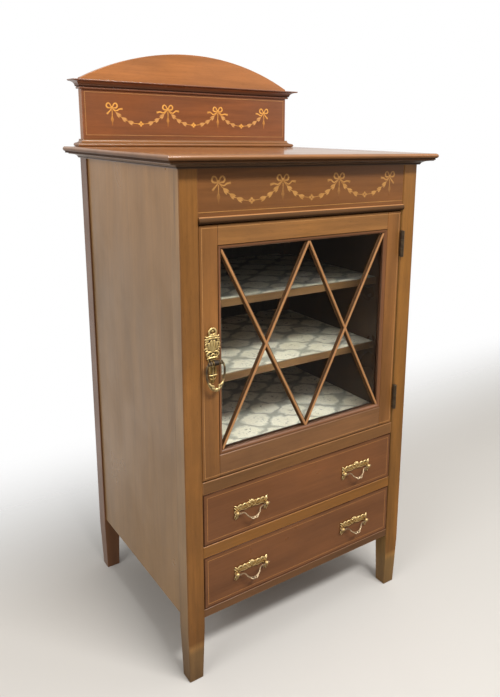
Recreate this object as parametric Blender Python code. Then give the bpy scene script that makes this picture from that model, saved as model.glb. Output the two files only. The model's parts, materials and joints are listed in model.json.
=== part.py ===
"""Sheet music cabinet: an inlaid mahogany case on four square legs, with a glazed and barred door
over two shelves, two drawers below it, and an arched gallery on the moulded top.

Metres, +Z up, and the front faces -Y. The origin is on the floor, under the middle of the top board.
"""

from math import cos, pi, radians, sin, sqrt

import bmesh
import bpy
from mathutils import Matrix, Vector

# Case
carcass_width = 0.480
carcass_depth = 0.412
leg_side = 0.031
foot_taper = 0.0029
foot_taper_height = 0.100
case_bottom_height = 0.117
front_setback = 0.001
arris = 0.0008
fit_gap = 0.0003
overrun = 0.004

# Front of the case, from the bottom up
bottom_board_thickness = 0.0145
lower_drawer_opening = 0.098
divider_thickness = 0.020
upper_drawer_opening = 0.095
cupboard_rail_height = 0.0215
door_opening_height = 0.418
bead_height = 0.011
bead_projection = 0.0045
bead_depth = 0.020
frieze_height = 0.0795
frieze_setback = 0.0015
frieze_thickness = 0.018

# Top board with a half-round nose, and the cove moulding under it
top_thickness = 0.0115
top_overhang = 0.027
top_back_overhang = 0.015
nose_radius = 0.00425
nose_lift = 0.0030
nose_step = 0.0040
top_moulding_height = 0.0085
top_moulding_reach = 0.0215
top_moulding_foot = 0.0035
moulding_fillet = 0.0012

# Side and back panels, held in grooves of the legs
panel_thickness = 0.0085
panel_setback = 0.003
groove_depth = 0.004
housing_depth = 0.003
back_panel_thickness = 0.006
back_panel_inset = 0.004

# Shelves, the cupboard's floor, and the paper that lines them
cupboard_floor_thickness = 0.012
door_stop_height = 0.007
shelf_setback = 0.086
shelf_thickness = 0.013
shelf_spacing = 0.134
paper_thickness = 0.0006
paper_margin = 0.0015

# Gallery
gallery_width = 0.464
gallery_thickness = 0.016
gallery_housing_depth = 0.001
gallery_shoulder_height = 0.1258
arch_rise = 0.0567
cornice_rise = 0.1055
cornice_height = 0.0165
cornice_reach = 0.020
cornice_bead_reach = 0.0045
cornice_bead_height = 0.0045
cornice_top_band = 0.002
base_moulding_height = 0.0135
base_moulding_reach = 0.014
base_moulding_lip = 0.0035
base_nose_radius = 0.0032

# Door frame, glass and bars
door_side_gap = 0.0015
door_height_gap = 0.0018
door_setback = 0.002
door_thickness = 0.020
door_stile_width = 0.0315
door_bottom_rail_height = 0.038
tenon_length = 0.018
tenon_thickness = 0.0065
tenon_shoulder = 0.006
sight_moulding_width = 0.0066
sight_moulding_depth = 0.0082
glass_thickness = 0.003
glazing_bead_width = 0.0075
glazing_bead_depth = 0.0070
bar_width = 0.0090
bar_rib_width = 0.0050
bar_depth = 0.0066
bar_wing_depth = 0.0028

# Lock in the back of the door
lock_width = 0.026
lock_height = 0.050
lock_depth = 0.008
lock_rise = 0.013
keyhole_radius = 0.0022

# Butt hinges
hinge_length = 0.048
hinge_top_distance = 0.036
hinge_bottom_distance = 0.030
barrel_radius = 0.0035
hinge_pin_radius = 0.0013
hinge_pin_clearance = 0.0004
knuckle_count = 3
leaf_thickness = 0.0012
leaf_depth = 0.016
leaf_gap = 0.0003

# Drawers
drawer_gap = 0.001
drawer_front_thickness = 0.020
drawer_back_clearance = 0.036
drawer_side_thickness = 0.009
drawer_side_inset = 0.0005
drawer_headroom = 0.007
drawer_back_thickness = 0.008
drawer_bottom_thickness = 0.005
drawer_bottom_tongue = 0.0042
drawer_bottom_lift = 0.008
tail_count = 3
tail_length = 0.012
tail_flare = 0.0020
pin_width = 0.010
guide_height = 0.015

# Drawer pulls, cast and pierced, with swan-neck bails that stand forward at their grip
pull_end_distance = 0.0905
pull_drop = 0.0030
pull_centres = 0.059
pull_half_width = 0.0335
pull_crest_height = 0.0165
pull_leaf_drop = 0.0145
pull_plate_thickness = 0.0022
pull_dome_radius = 0.0070
pull_dome_height = 0.0016
pull_post_radius = 0.0022
pull_post_length = 0.0060
pull_ball_radius = 0.0034
pull_pin_radius = 0.0013
pull_pin_clearance = 0.0004
pull_pin_end = 0.0009
bail_drop = 0.0185
bail_reach = 0.0060
bail_radius = 0.0016
bail_knob_radius = 0.0026

# Door handle, cast and pierced, with a hanging ring
handle_height = 0.2015
handle_edge_distance = 0.0195
handle_rise = 0.0545
handle_fall = 0.0380
handle_half_width = 0.0125
handle_plate_thickness = 0.0024
handle_dome_radius = 0.0072
handle_dome_height = 0.0020
lug_radius = 0.0042
lug_width = 0.0100
lug_reach = 0.0110
ring_half_width = 0.0160
ring_drop = 0.0480
ring_radius = 0.0018
ring_pin_radius = 0.0015
ring_pin_clearance = 0.0004
ring_knob_radius = 0.0036

# Outlines of the cast brass, as shares of the half width and of the height above or below the pivots.
# They run down the right side, and the left side is their mirror image.
pull_top_shares = (
    (0.00, 1.00), (0.11, 0.97), (0.20, 0.84), (0.29, 0.66), (0.42, 0.66), (0.56, 0.71),
    (0.72, 0.66), (0.86, 0.70), (0.95, 0.86), (1.00, 0.68), (0.97, 0.38),
)
pull_bottom_shares = (
    (0.99, 0.10), (0.95, 0.55), (0.97, 1.00), (0.87, 0.78), (0.80, 0.40), (0.77, 0.00),
    (0.70, -0.24), (0.56, -0.32), (0.40, -0.26), (0.22, -0.30), (0.10, -0.10), (0.00, -0.04),
)
pull_hole_shares = ((0.37, 0.46, 0.034), (0.58, 0.49, 0.034))
pull_dome_share = 0.50
pull_dome_height_share = 0.25
handle_top_shares = (
    (0.00, 1.00), (0.40, 0.98), (0.58, 0.90), (0.40, 0.82), (0.62, 0.79), (0.95, 0.76),
    (0.80, 0.68), (0.50, 0.64), (0.80, 0.58), (0.98, 0.50), (0.84, 0.43), (0.98, 0.33),
    (0.66, 0.27), (0.98, 0.19), (0.80, 0.06),
)
handle_bottom_shares = (
    (0.52, 0.04), (0.42, 0.16), (0.52, 0.36), (0.60, 0.54), (0.40, 0.72), (0.22, 0.88), (0.00, 1.00),
)
handle_hole_shares = ((0.00, 0.86, 0.16), (0.00, 0.66, 0.13))
handle_dome_share = 0.45
lug_neck_share = 0.82
bail_shares = (
    (0.80, 0.03), (0.70, 0.14), (0.60, 0.27), (0.51, 0.43), (0.42, 0.60), (0.32, 0.76),
    (0.17, 0.93), (0.00, 1.00),
)
ring_shares = (
    (0.62, 0.00), (0.86, 0.05), (0.98, 0.18), (1.00, 0.34), (0.94, 0.52), (0.78, 0.72),
    (0.55, 0.88), (0.28, 0.97), (0.00, 1.00),
)
ring_pin_shares = (0.25, 0.75)
sight_round_share = 0.67

# Places worked out from the sizes
half_width = carcass_width / 2
top_depth = top_overhang + carcass_depth + top_back_overhang
front = top_overhang - top_depth / 2
back = front + carcass_depth
top_back = back + top_back_overhang
inner_leg = half_width - leg_side
behind_front_legs = front + leg_side
before_back_legs = back - leg_side
panel_outer = half_width - panel_setback
panel_inner = panel_outer - panel_thickness
back_panel_back = back - back_panel_inset
back_panel_front = back_panel_back - back_panel_thickness
between_legs = inner_leg - fit_gap

bottom_board_top = case_bottom_height + bottom_board_thickness
divider_bottom = bottom_board_top + lower_drawer_opening
divider_top = divider_bottom + divider_thickness
cupboard_rail_bottom = divider_top + upper_drawer_opening
cupboard_rail_top = cupboard_rail_bottom + cupboard_rail_height
door_opening_top = cupboard_rail_top + door_opening_height
bead_top = door_opening_top + bead_height
top_underside = bead_top + frieze_height
top_surface = top_underside + top_thickness
cupboard_floor_top = cupboard_rail_top + door_stop_height
lower_shelf_top = cupboard_floor_top + shelf_spacing
upper_shelf_top = lower_shelf_top + shelf_spacing
gallery_seat = top_surface - gallery_housing_depth

door_front = front + door_setback
door_back = door_front + door_thickness
door_bottom = cupboard_rail_top + door_height_gap
door_top = door_opening_top - door_height_gap
door_half = inner_leg - door_side_gap
sight_half = door_half - door_stile_width
sight_bottom = door_bottom + door_bottom_rail_height
sight_top = door_top - door_stile_width
glass_front = door_front + fit_gap + sight_moulding_depth + fit_gap
glass_back = glass_front + glass_thickness
cupboard_floor_front = door_back + fit_gap

hinge_x = inner_leg - door_side_gap / 2
hinge_y = front - fit_gap - barrel_radius
leaf_back = door_front + leaf_depth
handle_x = -door_half + handle_edge_distance
handle_pivot = door_bottom + handle_height
handle_y = door_front - fit_gap - lug_reach
lock_middle = handle_pivot + lock_rise

gallery_half = gallery_width / 2
gallery_front = top_back - gallery_thickness
drawer_face = front + front_setback
drawer_half = inner_leg - drawer_gap
drawer_side_outer = drawer_half - drawer_side_inset
drawer_side_inner = drawer_side_outer - drawer_side_thickness
drawer_front_back = drawer_face + drawer_front_thickness
drawer_rear = back_panel_front - drawer_back_clearance
drawer_back_outer = drawer_rear - drawer_back_thickness
drawer_back_inner = drawer_back_outer - drawer_back_thickness
pull_x = drawer_half - pull_end_distance
pull_y = drawer_face - fit_gap - pull_post_length
bail_half = pull_centres / 2


def clear_scene():
    for obj in list(bpy.data.objects):
        bpy.data.objects.remove(obj, do_unlink=True)


def finish(name, colour, roughness, metallic=0.0, transmission=0.0):
    """A plain Principled BSDF for one kind of material."""
    made = bpy.data.materials.new(name)
    made.use_nodes = True
    shader = made.node_tree.nodes["Principled BSDF"]
    shader.inputs["Base Color"].default_value = (*colour, 1.0)
    shader.inputs["Roughness"].default_value = roughness
    shader.inputs["Metallic"].default_value = metallic
    shader.inputs["Transmission Weight"].default_value = transmission
    made.diffuse_color = (*colour, 1.0)
    return made


def object_from(name, bm, material):
    """One object of the scene from a bmesh, with its faces pointing out."""
    bmesh.ops.recalc_face_normals(bm, faces=bm.faces)
    mesh = bpy.data.meshes.new(name)
    bm.to_mesh(mesh)
    bm.free()
    mesh.materials.append(material)
    made = bpy.data.objects.new(name, mesh)
    bpy.context.scene.collection.objects.link(made)
    return made


def round_off(obj):
    """Shades the curved faces of a piece smooth and keeps its sharp corners."""
    obj.data.shade_smooth()
    obj.data.set_sharp_from_angle(angle=radians(35))
    return obj


def ease_edges(obj, width=arris):
    """Takes the sharp arrises off a wooden piece."""
    bevel = obj.modifiers.new("Eased arrises", "BEVEL")
    bevel.width = width
    bevel.segments = 1
    bevel.limit_method = "ANGLE"
    bevel.angle_limit = radians(40)
    return obj


def block(name, corner, opposite, material, spread=(0, 0, 0)):
    """A block between two corners, in any order, made larger by the spread at both ends of each axis."""
    low = Vector(min(a, b) - s for a, b, s in zip(corner, opposite, spread))
    high = Vector(max(a, b) + s for a, b, s in zip(corner, opposite, spread))
    bm = bmesh.new()
    bmesh.ops.create_cube(bm, size=1)
    place = Matrix.Translation((low + high) / 2) @ Matrix.Diagonal((*(high - low), 1))
    bmesh.ops.transform(bm, matrix=place, verts=bm.verts)
    return object_from(name, bm, material)


def lofted(name, rings, material, closed=False):
    """A body through rings of as many points each; a closed one joins its last ring to its first."""
    bm = bmesh.new()
    loops = [[bm.verts.new(point) for point in ring] for ring in rings]
    pairs = list(zip(loops, loops[1:]))
    if closed:
        pairs.append((loops[-1], loops[0]))
    else:
        bm.faces.new(loops[0])
        bm.faces.new(loops[-1][::-1])
    for near, far in pairs:
        for i in range(len(near)):
            j = (i + 1) % len(near)
            bm.faces.new((near[i], near[j], far[j], far[i]))
    return object_from(name, bm, material)


def extruded(name, outline, start, end, place, material):
    """A closed outline of (u, v) points carried from start to end; place turns (u, v, w) into x, y, z."""
    rings = [[place(u, v, w) for u, v in outline] for w in (start, end)]
    return lofted(name, rings, material)


def mitred_run(name, corners, profile, closed, place, material):
    """A moulding with mitred corners. The corners are (u, v) points of its inner line. The profile is a
    closed outline of (reach, level) points, with the reach to the right of the way along the corners."""
    count = len(corners)
    rings = []
    for i, corner in enumerate(corners):
        here = Vector(corner)
        ways = []
        if closed or i > 0:
            ways.append((here - Vector(corners[i - 1])).normalized())
        if closed or i < count - 1:
            ways.append((Vector(corners[(i + 1) % count]) - here).normalized())
        sides = [Vector((way.y, -way.x)) for way in ways]
        mitre = sum(sides, Vector((0, 0)))
        mitre /= mitre.dot(sides[0])
        rings.append([place(*(here + mitre * reach), level) for reach, level in profile])
    return lofted(name, rings, material, closed)


def cylinder(name, radius, start, end, material, sides=16):
    """A round bar between two points."""
    start, end = Vector(start), Vector(end)
    bm = bmesh.new()
    bmesh.ops.create_cone(
        bm, cap_ends=True, segments=sides, radius1=radius, radius2=radius, depth=(end - start).length
    )
    turn = (end - start).to_track_quat("Z", "Y").to_matrix().to_4x4()
    bmesh.ops.transform(bm, matrix=Matrix.Translation((start + end) / 2) @ turn, verts=bm.verts)
    return object_from(name, bm, material)


def ball(name, centre, radii, material):
    """A round or flattened ball, from its three radii."""
    bm = bmesh.new()
    bmesh.ops.create_uvsphere(bm, u_segments=10, v_segments=7, radius=1)
    place = Matrix.Translation(centre) @ Matrix.Diagonal((*radii, 1))
    bmesh.ops.transform(bm, matrix=place, verts=bm.verts)
    return object_from(name, bm, material)


def combine(target, other, operation):
    """Cuts or joins another body, which itself stays out of the model."""
    other.hide_render = True
    other.display_type = "WIRE"
    boolean = target.modifiers.new(other.name, "BOOLEAN")
    boolean.operation = operation
    boolean.object = other
    boolean.solver = "EXACT"
    return target


def cut(target, cutter):
    return combine(target, cutter, "DIFFERENCE")


def join(target, other):
    return combine(target, other, "UNION")


def settle(obj, location):
    """Moves a body, and every body that cuts or joins it, from the origin to its place."""
    obj.location = location
    for modifier in obj.modifiers:
        if modifier.type == "BOOLEAN":
            modifier.object.location = location
    return obj


def axis_empty(name, location, parent=None):
    """An empty on a joint's axis, which carries the pieces that move on it."""
    made = bpy.data.objects.new(name, None)
    made.empty_display_size = hinge_length
    made.location = location
    bpy.context.scene.collection.objects.link(made)
    if parent is not None:
        carry(parent, [made])
    return made


def carry(parent, pieces):
    """Parents the pieces without moving them."""
    bpy.context.view_layer.update()
    for piece in pieces:
        piece.parent = parent
        piece.matrix_parent_inverse = parent.matrix_world.inverted()


def plan(u, v, w):
    """(u, v) lie in the floor plan, and w is the height."""
    return (u, v, w)


def elevation(u, v, w):
    """(u, v) lie in the front view, and w is the depth."""
    return (u, w, v)


def section(u, v, w):
    """(u, v) lie in the side view, and w runs across the width."""
    return (w, u, v)


def arc(centre_u, centre_v, radius_u, radius_v, start, end, steps):
    """Points of an elliptical arc, with both ends."""
    turns = [start + (end - start) * i / steps for i in range(steps + 1)]
    return [(centre_u + radius_u * cos(turn), centre_v + radius_v * sin(turn)) for turn in turns]


def curved(points, steps=2):
    """A smooth open line through points, with the same count of steps between each two."""
    made = []
    last = len(points) - 1
    for i in range(last):
        p0, p1, p2, p3 = (Vector(points[min(max(k, 0), last)]) for k in (i - 1, i, i + 1, i + 2))
        for step in range(steps):
            t = step / steps
            blend = (2 * p1) + (p2 - p0) * t
            blend += (2 * p0 - 5 * p1 + 4 * p2 - p3) * t ** 2
            blend += (3 * p1 - p0 - 3 * p2 + p3) * t ** 3
            made.append(tuple(blend / 2))
    return made + [tuple(points[-1])]


def mirrored(right_half):
    """The right half of an outline and then its mirror image, as one closed outline."""
    left_half = [(-u, v) for u, v in reversed(right_half) if u]
    return list(right_half) + left_half


def make_leg(name, side, end, material):
    """A square leg with a slightly tapered foot. Side is -1 left or 1 right; end is -1 front or 1 back."""
    outer = side * half_width
    inner = side * inner_leg
    face = front if end < 0 else back
    hidden = behind_front_legs if end < 0 else before_back_legs
    rings = []
    for height, taper in ((0, foot_taper), (foot_taper_height, 0), (top_underside - fit_gap, 0)):
        x_out, x_in = outer - side * taper, inner + side * taper
        y_out, y_in = face - end * taper, hidden + end * taper
        corners = ((x_out, y_out), (x_in, y_out), (x_in, y_in), (x_out, y_in))
        rings.append([(x, y, height) for x, y in corners])
    leg = ease_edges(lofted(name, rings, material))
    corner = (side * panel_inner, hidden - end * overrun, case_bottom_height - fit_gap)
    opposite = (side * panel_outer, hidden + end * (groove_depth + fit_gap), top_surface + overrun)
    cut(leg, block(name + "_side_groove", corner, opposite, material, (fit_gap, 0, 0)))
    if end > 0:
        corner = (inner - side * overrun, back_panel_front, case_bottom_height - fit_gap)
        opposite = (inner + side * (groove_depth + fit_gap), back_panel_back, top_surface + overrun)
        cut(leg, block(name + "_back_groove", corner, opposite, material, (0, fit_gap, 0)))
    return leg


def make_side_panel(name, side, material):
    corner = (side * panel_inner, behind_front_legs - groove_depth, case_bottom_height)
    opposite = (side * panel_outer, before_back_legs + groove_depth, top_underside - fit_gap)
    return block(name, corner, opposite, material)


def make_back_panel(material):
    wide = inner_leg + groove_depth
    low = (-wide, back_panel_front, case_bottom_height)
    return block("back_panel", low, (wide, back_panel_back, top_underside - fit_gap), material)


def board_outline(start, margin=0.0, tongue=housing_depth):
    """The plan of a board that reaches from a depth to the back panel, notched round the legs it meets."""
    wide = panel_inner + tongue - margin
    narrow = between_legs - margin
    begin = start + margin
    if start < behind_front_legs:
        shoulder = behind_front_legs + fit_gap + margin
        right = [(narrow, begin), (narrow, shoulder), (wide, shoulder)]
    else:
        right = [(wide, begin)]
    rear_shoulder = before_back_legs - fit_gap - margin
    right += [(wide, rear_shoulder), (narrow, rear_shoulder), (narrow, back_panel_front - fit_gap - margin)]
    return mirrored(right)


def make_board(name, start, bottom, top, panels, material):
    """A shelf or a division board, let into a housing of each side panel."""
    board = ease_edges(extruded(name, board_outline(start), bottom, top, plan, material), arris / 2)
    for side, panel in panels.items():
        corner = (side * (panel_inner - overrun), max(start, behind_front_legs), bottom)
        opposite = (side * (panel_inner + housing_depth), before_back_legs, top)
        cut(panel, block(f"{panel.name}_{name}_housing", corner, opposite, material, (fit_gap,) * 3))
    return board


def make_paper(name, start, board_top, material):
    """A sheet that lines a board, cut a little smaller than the board."""
    outline = board_outline(start, paper_margin, 0.0)
    low = board_top + fit_gap
    return extruded(name, outline, low, low + paper_thickness, plan, material)


def make_top_board(material):
    """A board whose front and ends have a half-round nose over a small step, housed for the gallery."""
    nose_middle = top_underside + nose_lift + nose_radius
    nose = arc(nose_radius, nose_middle, -nose_radius, nose_radius, -pi / 2, pi / 2, 8)
    step = [(nose_step, top_underside), (nose_step, nose_middle - nose_radius)]
    insets = [*step, *nose[1:-1], (nose_radius, top_surface)]
    rings = []
    for inset, height in insets:
        x = half_width + top_overhang - inset
        y = front - top_overhang + inset
        rings.append([(-x, y, height), (x, y, height), (x, top_back, height), (-x, top_back, height)])
    board = lofted("top_board", rings, material)
    reach = base_moulding_reach + fit_gap
    corner = (-gallery_half - reach, gallery_front - reach, gallery_seat)
    opposite = (gallery_half + reach, top_back + overrun, top_surface + overrun)
    return round_off(cut(board, block("gallery_housing", corner, opposite, material)))


def cove(near, far, low, high, steps=5):
    """A hollow that rises from the wall and then sweeps out."""
    turns = [pi / 2 * i / steps for i in range(steps + 1)]
    return [(near + (far - near) * (1 - cos(turn)), low + (high - low) * sin(turn)) for turn in turns]


def round_the_case(half, face, rear):
    """The way round the sides and front of a case, with its outside on the right of the way."""
    return [(-half, rear), (-half, face), (half, face), (half, rear)]


def make_top_moulding(material):
    high = top_underside - fit_gap
    low = high - top_moulding_height
    hollow = cove(
        top_moulding_foot + moulding_fillet,
        top_moulding_reach,
        low + moulding_fillet,
        high - moulding_fillet,
    )
    profile = [(fit_gap, high), (fit_gap, low), (top_moulding_foot, low)]
    profile += [(top_moulding_foot, low + moulding_fillet), *hollow, (top_moulding_reach, high)]
    corners = round_the_case(half_width, front, back)
    return round_off(mitred_run("top_moulding", corners, profile, False, plan, material))


def make_gallery_board(material):
    """The upstand at the back of the top, whose upper edge is a segment of a circle."""
    radius = (gallery_half ** 2 + arch_rise ** 2) / (2 * arch_rise)
    shoulder = top_surface + gallery_shoulder_height
    centre = shoulder + arch_rise - radius
    steps = 28
    low = gallery_seat + fit_gap
    outline = [(-gallery_half, low), (gallery_half, low)]
    for i in range(steps + 1):
        x = gallery_half * (1 - 2 * i / steps)
        outline.append((x, centre + sqrt(radius ** 2 - x ** 2)))
    return ease_edges(extruded("gallery_board", outline, gallery_front, top_back, elevation, material))


def make_gallery_cornice(material):
    low = top_surface + cornice_rise
    high = low + cornice_height
    bead_half = cornice_bead_height / 2
    bead_top = low + cornice_bead_height
    hollow = cove(
        cornice_bead_reach + moulding_fillet,
        cornice_reach - moulding_fillet,
        bead_top,
        high - cornice_top_band,
    )
    bead_middle = cornice_bead_reach - bead_half
    profile = [(fit_gap, high), (fit_gap, low)]
    profile += arc(bead_middle, low + bead_half, bead_half, bead_half, -pi / 2, pi / 2, 5)
    profile += [*hollow, (cornice_reach, high - cornice_top_band), (cornice_reach, high)]
    corners = round_the_case(gallery_half, gallery_front, top_back)
    return round_off(mitred_run("gallery_cornice", corners, profile, False, plan, material))


def make_gallery_base_moulding(material):
    low = top_surface + fit_gap
    high = low + base_moulding_height
    nose_centre = base_moulding_reach - base_nose_radius
    radius = base_nose_radius
    hollow = cove(base_moulding_lip, nose_centre, high - moulding_fillet, low + 2 * radius)
    profile = [(fit_gap, high), (fit_gap, gallery_seat + fit_gap), (nose_centre, gallery_seat + fit_gap)]
    profile += arc(nose_centre, low + radius, radius, radius, -pi / 2, pi / 2, 6)
    profile += [*hollow[-2::-1], (base_moulding_lip, high)]
    corners = round_the_case(gallery_half, gallery_front, top_back)
    return round_off(mitred_run("gallery_base_moulding", corners, profile, False, plan, material))


def make_frieze(material):
    low = (-between_legs, front + frieze_setback, bead_top + fit_gap)
    high = (between_legs, front + frieze_setback + frieze_thickness, top_underside - fit_gap)
    return block("frieze_panel", low, high, material)


def make_frieze_bead(material):
    """A rounded bead that stands proud of the legs, between them."""
    half = bead_height / 2
    face = front - bead_projection + half
    outline = [(front + bead_depth, bead_top), (front + bead_depth, door_opening_top)]
    outline += arc(face, door_opening_top + half, -half, half, -pi / 2, pi / 2, 8)
    return round_off(extruded("frieze_bead", outline, -between_legs, between_legs, section, material))


def make_cupboard_rail(material):
    low = (-between_legs, drawer_face, cupboard_rail_bottom)
    high = (between_legs, cupboard_floor_front - fit_gap, cupboard_rail_top)
    return ease_edges(block("cupboard_rail", low, high, material), arris / 2)


def make_drawer_guide(name, side, opening_bottom, material):
    """A strip that fills the depth of the legs, so that the drawer runs straight."""
    low = opening_bottom + fit_gap
    corner = (side * inner_leg, behind_front_legs + fit_gap, low)
    opposite = (side * (panel_inner - fit_gap), before_back_legs - fit_gap, low + guide_height)
    return block(name, corner, opposite, material)


def make_hinge(level, leg, stile, brass):
    """A butt hinge: the frame leaf holds the outer knuckles and the pin, and the door leaf the middle one."""
    low = door_bottom + hinge_bottom_distance
    if level == "upper":
        low = door_top - hinge_top_distance - hinge_length
    high = low + hinge_length
    knuckle = hinge_length / knuckle_count
    joints = (low + knuckle, high - knuckle)
    main_front = hinge_y + barrel_radius + leaf_gap
    leaves = {}
    for owner, side, wood in (("frame", 1, leg), ("door", -1, stile)):
        near = hinge_x + side * leaf_gap / 2
        far = near + side * leaf_thickness
        name = f"hinge_{level}_{owner}_leaf"
        leaf = block(name, (near, main_front, low), (far, leaf_back, high), brass)
        tab_front = hinge_y + hinge_pin_radius + hinge_pin_clearance + leaf_gap
        spans = ((low, joints[0]), (joints[1], high)) if owner == "frame" else (joints,)
        for i, (bottom, top) in enumerate(spans):
            bottom += leaf_gap / 2 if bottom in joints else 0
            top -= leaf_gap / 2 if top in joints else 0
            tab_back = main_front + leaf_thickness
            join(leaf, block(f"{name}_tab_{i}", (near, tab_front, bottom), (far, tab_back, top), brass))
            foot, head = (hinge_x, hinge_y, bottom), (hinge_x, hinge_y, top)
            join(leaf, cylinder(f"{name}_barrel_{i}", barrel_radius, foot, head, brass))
        core = hinge_pin_radius + (0 if owner == "frame" else hinge_pin_clearance)
        reach = -arris if owner == "frame" else overrun
        foot, head = (hinge_x, hinge_y, low - reach), (hinge_x, hinge_y, high + reach)
        rod = cylinder(f"{name}_core", core, foot, head, brass, 12)
        combine(leaf, rod, "UNION" if owner == "frame" else "DIFFERENCE")
        corner = (near - side * overrun, front - overrun, low)
        cut(wood, block(f"{name}_recess", corner, (far, leaf_back, high), brass, (fit_gap,) * 3))
        leaves[owner] = leaf
    return leaves


def make_door_frame(mahogany):
    """Two stiles and two rails, whose tenons are let into the stiles."""
    middle = (door_front + door_back) / 2
    stiles = {}
    for side, word in ((-1, "left"), (1, "right")):
        corner = (side * sight_half, door_front, door_bottom)
        opposite = (side * door_half, door_back, door_top)
        stiles[side] = ease_edges(block(f"door_stile_{word}", corner, opposite, mahogany))
    rails = []
    for name, low, high in (
        ("door_rail_bottom", door_bottom, sight_bottom),
        ("door_rail_top", sight_top, door_top),
    ):
        rail_end = sight_half - fit_gap
        rail = ease_edges(block(name, (-rail_end, door_front, low), (rail_end, door_back, high), mahogany))
        tenon_end = sight_half + tenon_length
        corner = (-tenon_end, middle - tenon_thickness / 2, low + tenon_shoulder)
        opposite = (tenon_end, middle + tenon_thickness / 2, high - tenon_shoulder)
        join(rail, block(name + "_tenons", corner, opposite, mahogany))
        for side, stile in stiles.items():
            corner = (side * (sight_half - overrun), corner[1], corner[2])
            opposite = (side * tenon_end, opposite[1], opposite[2])
            cut(stile, block(f"{stile.name}_{name}_mortise", corner, opposite, mahogany, (fit_gap,) * 3))
        rails.append(rail)
    return stiles, rails


def sight_corners(inset):
    """The corners of the glazed opening, drawn in by an inset, with the inside on the right of the way."""
    x = sight_half - inset
    low, high = sight_bottom + inset, sight_top - inset
    return [(-x, low), (-x, high), (x, high), (x, low)]


def make_sight_moulding(material):
    """The rounded moulding that frames the glass from the front."""
    shallow = door_front + fit_gap
    deep = shallow + sight_moulding_depth
    round_depth = sight_moulding_depth * sight_round_share
    profile = [(sight_moulding_width, deep), (0, deep)]
    profile += arc(0, shallow + round_depth, sight_moulding_width, -round_depth, pi / 2, 0, 5)
    ring = mitred_run("door_moulding", sight_corners(fit_gap), profile, True, elevation, material)
    return round_off(ring)


def make_glazing_bead(material):
    """The slip that holds the glass from behind."""
    near = glass_back + fit_gap
    far = near + glazing_bead_depth
    slope = glazing_bead_depth / 2
    width = glazing_bead_width
    profile = [(0, near), (width, near), (width, far - slope), (slope, far), (0, far)]
    return mitred_run("glazing_bead", sight_corners(fit_gap), profile, True, elevation, material)


def make_glass(material):
    x = sight_half - 2 * fit_gap
    low = (-x, glass_front, sight_bottom + 2 * fit_gap)
    return block("door_glass", low, (x, glass_back, sight_top - 2 * fit_gap), material)


def make_bars(material):
    """Slanted bars that cross in two large X shapes and end on the moulding, as one lattice."""
    deep = door_front + fit_gap + sight_moulding_depth
    wing = deep - bar_wing_depth
    shallow = deep - bar_depth
    half = bar_width / 2
    rib = bar_rib_width / 2
    crown = rib / 2
    right = [(crown, shallow), (rib, shallow + rib - crown), (rib, wing), (half, wing), (half, deep)]
    profile = mirrored(right)
    inset = fit_gap + sight_moulding_width + fit_gap
    x = sight_half - inset
    low, high = sight_bottom + inset, sight_top - inset
    bars = []
    for side in (-1, 1):
        for edge_height, middle_height in ((low, high), (high, low)):
            start, end = Vector((side * x, edge_height)), Vector((0, middle_height))
            way = (end - start).normalized()
            across = Vector((way.y, -way.x))
            rings = []
            for end_point in (start - way * bar_width, end + way * bar_width):
                ring = [elevation(*(end_point + across * u), depth) for u, depth in profile]
                rings.append(ring)
            bars.append(lofted(f"bar_{len(bars)}", rings, material))
    lattice = bars[0]
    lattice.name = "door_astragals"
    for bar in bars[1:]:
        join(lattice, bar)
    corner = (-x, shallow - overrun, low)
    combine(lattice, block("bars_limit", corner, (x, deep + overrun, high), material), "INTERSECT")
    return lattice


def make_lock(stile, brass):
    """A cut lock, let in flush with the back of the door's left stile, and the way to it for a key."""
    corner = (-door_half, door_back, lock_middle - lock_height / 2)
    opposite = (-door_half + lock_width, door_back - lock_depth, lock_middle + lock_height / 2)
    lock = block("door_lock", corner, opposite, brass)
    mouth = (corner[0] - overrun, corner[1] + overrun, corner[2])
    cut(stile, block("lock_recess", mouth, opposite, brass, (fit_gap,) * 3))
    near = (handle_x, door_front - overrun, lock_middle)
    far = (handle_x, door_back - lock_depth + fit_gap, lock_middle)
    cut(stile, cylinder("keyway", keyhole_radius, near, far, brass))
    return lock


def cast_outline(top_shares, bottom_shares, half, rise, fall):
    """The outline of a cast plate about its pivot line, smoothed, from its shares."""
    right = [(u * half, v * rise) for u, v in top_shares]
    right += [(u * half, -v * fall) for u, v in bottom_shares]
    return mirrored(curved(right))


def cast_plate(name, outline, holes, back_y, thickness, material):
    """A flat casting with round piercings, whose back lies at back_y behind the pivots."""
    plate = extruded(name, outline, back_y - thickness, back_y, elevation, material)
    for i, (u, v, radius) in enumerate(holes):
        start = (u, back_y - thickness - overrun, v)
        cut(plate, cylinder(f"{name}_piercing_{i}", radius, start, (u, back_y + overrun, v), material, 12))
    return plate


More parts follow.
